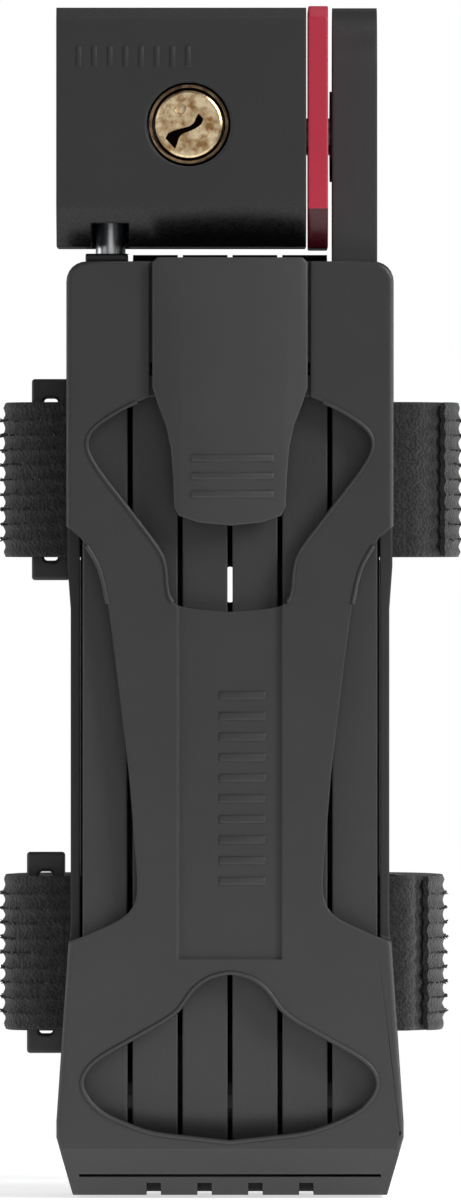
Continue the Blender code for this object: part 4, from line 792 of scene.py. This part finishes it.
# %% A strip of hook-and-loop tape
def tape(name, found, middle, width, skin, wall, closed, relief):
    """A strip whose outer skin lies at an offset from the line, with ribs outwards and its wall inwards."""
    total = found[-1][0]
    columns, rows = int(total / 0.75), int(width / 0.4)
    bpy.ops.object.select_all(action="DESELECT")
    bpy.ops.mesh.primitive_grid_add(x_subdivisions=columns, y_subdivisions=rows, size=1.0)
    strip = bpy.context.active_object
    strip.name = name
    places = {}
    for corner in strip.data.vertices:
        share, up = round(corner.co.x + 0.5, 6), corner.co.y * width
        if share not in places:
            places[share] = at(found, share * total)
        point, normal = places[share]
        wave = 0.5 + 0.5 * math.cos(2 * math.pi * up / ROW_PITCH)
        nap = noise.noise(Vector((share * total * 0.9, up * 0.9, middle)))
        selvedge = min(1.0, (width / 2 - abs(up)) / 1.0)
        out = skin + relief * selvedge * (wave * (0.75 + 0.5 * nap) + 0.35 * nap)
        corner.co = Vector(((point.x + normal.x * out) * MM, (point.y + normal.y * out) * MM, (middle + up) * MM))
    wall_modifier = strip.modifiers.new("thickness", "SOLIDIFY")
    wall_modifier.thickness = wall * MM
    wall_modifier.offset = -1.0
    pick(strip)
    if closed:
        bpy.ops.object.mode_set(mode="EDIT")
        bpy.ops.mesh.select_all(action="SELECT")
        bpy.ops.mesh.remove_doubles(threshold=0.01 * MM)
        bpy.ops.object.mode_set(mode="OBJECT")
    outward = strip.data.polygons[0].normal.dot(
        Vector((*at(found, 0.5 / columns * total)[1], 0.0)))
    if outward < 0:
        bpy.ops.object.mode_set(mode="EDIT")
        bpy.ops.mesh.select_all(action="SELECT")
        bpy.ops.mesh.flip_normals()
        bpy.ops.object.mode_set(mode="OBJECT")
    settle(strip)
    return smooth(strip, 60.0)


# %% Tufts of pile
def tufts(name, found, middle, width, skin, reach, seed):
    """Small leaning spikes along the rows of hooks, all made from one cone."""
    dice = random.Random(seed)
    bpy.ops.object.select_all(action="DESELECT")
    bpy.ops.mesh.primitive_cone_add(vertices=4, radius1=0.5, radius2=0.12, depth=1.0)
    spike = bpy.context.active_object
    corners = [corner.co.copy() for corner in spike.data.vertices]
    faces = [tuple(face.vertices) for face in spike.data.polygons]
    bpy.data.objects.remove(spike)
    all_corners, all_faces = [], []
    start, end = found[0][0], found[-1][0]
    rows = int((width / 2 - 0.8) / ROW_PITCH)
    for row in range(-rows, rows + 1):
        length = start + dice.random()
        while length < end - 0.4:
            point, normal = at(found, length)
            tall, thick = dice.uniform(0.5, 1.0) * reach, dice.uniform(0.22, 0.42)
            lean_up, lean_along = dice.uniform(-0.5, 0.5), dice.uniform(-0.5, 0.5)
            along = Vector((-normal.y, normal.x))
            first = len(all_corners)
            for co in corners:
                out = (co.z + 0.5) * tall
                side, up = co.x * thick + out * lean_along, co.y * thick + out * lean_up
                all_corners.append((
                    (point.x + normal.x * (skin + out) + along.x * side) * MM,
                    (point.y + normal.y * (skin + out) + along.y * side) * MM,
                    (middle + row * ROW_PITCH + up + dice.uniform(-0.1, 0.1)) * MM))
            all_faces += [tuple(first + index for index in face) for face in faces]
            length += dice.uniform(0.6, 1.3)
    mesh = bpy.data.meshes.new(name)
    mesh.from_pydata(all_corners, [], all_faces)
    pile = bpy.data.objects.new(name, mesh)
    bpy.context.scene.collection.objects.link(pile)
    pick(pile)
    bpy.ops.object.mode_set(mode="EDIT")
    bpy.ops.mesh.select_all(action="SELECT")
    bpy.ops.mesh.normals_make_consistent(inside=False)
    bpy.ops.object.mode_set(mode="OBJECT")
    return pile


# %% Both straps
for which, seed in (("upper", 3), ("lower", 8)):
    low, high = (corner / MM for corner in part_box(f"strap_{which}"))
    middle, width = (low.z + high.z) / 2, high.z - low.z
    line = strap_line(which)
    loop = measured_line(line, True)
    strap = tape(f"strap_{which}_tape", loop, middle, width, 0.7, 1.6, True, 0.45)
    dress(strap, strap_pile, "holster")
    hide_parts(f"strap_{which}")
    end_line = line[5 * 16 + 4:9 * 16 - 4]
    free = measured_line(end_line, False)
    free_end = tape(f"strap_{which}_free_end", free, middle, width, 2.35, 0.95, False, 0.40)
    dress(free_end, tape_weave, "holster")
    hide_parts(f"strap_{which}_tail")
    bend = measured_line(line[9 * 16:14 * 16], False)
    pile = tufts(f"strap_{which}_hooks", bend,
                 middle, width, 1.0, 0.75, seed)
    dress(pile, hook_nylon, "holster")
    end_pile = tufts(f"strap_{which}_free_hooks", free, middle, width, 2.6, 0.75, seed + 20)
    dress(end_pile, hook_nylon, "holster")
    buckle = rounded(f"strap_{which}_buckle", f"strap_{which}_loop", 0.5, segments=3)
    dress(buckle, buckle_nylon, "holster")

# %% [markdown]
# ## What stays as measured
# The inner parts are seen only when the lock opens or through its gaps, and their measured shapes are right. They
# keep their shapes and get the metals and plastics made above.

# %% Finishes for the parts carried over
FINISHES = {
    "hardened_steel": plate_steel,
    "bright_steel": zinc_steel,
    "spring_wire": spring_wire,
    "cylinder_brass": brass,
    "spacer_plastic": acetal,
    "holster_plastic": holster_nylon,
    "soft_cover": soft_touch,
    "bar_coating": bar_rubber,
    "buckle_plastic": buckle_nylon,
    "strap_fabric": strap_pile,
    "accent_plastic": red_band,
    "tab_plastic": tab_nylon,
}
slot_of = {part["node"]: part["material_slot"] for part in frame["record"]["subparts"]}
kept = 0
for name, node in frame["nodes"].items():
    if node.hide_render:
        continue
    node.data.materials.clear()
    node.data.materials.append(black_oxide if name == "tab_pivot_pin" else FINISHES[slot_of[name]])
    kept += 1
print("measured parts kept:", kept)

# %% [markdown]
# ## The floor
# A pale floor lies under the holster's foot. It isn't part of the object.

# %% Floor
bpy.ops.object.select_all(action="DESELECT")
bpy.ops.mesh.primitive_plane_add(size=0.5, location=(0, 0, measured_box[0][2] - 0.5 * MM))
floor = bpy.context.active_object
floor.name = "studio_floor"
paint, paint_tree = new_material("pale_floor_paint")
speckle = add(paint_tree, "ShaderNodeTexNoise", Scale=40.0, Detail=3.0)
tint = add(paint_tree, "ShaderNodeMix", {"data_type": "RGBA"}, _0=speckle.outputs["Fac"], _6=linear("#f4f4f4"),
           _7=linear("#ffffff"))
finish_material(paint_tree, add(paint_tree, "ShaderNodeBsdfPrincipled", Base_Color=tint.outputs[2], Roughness=0.8,
                                Emission_Color=(1.0, 1.0, 1.0, 1.0), Emission_Strength=0.6))
floor.data.materials.append(paint)
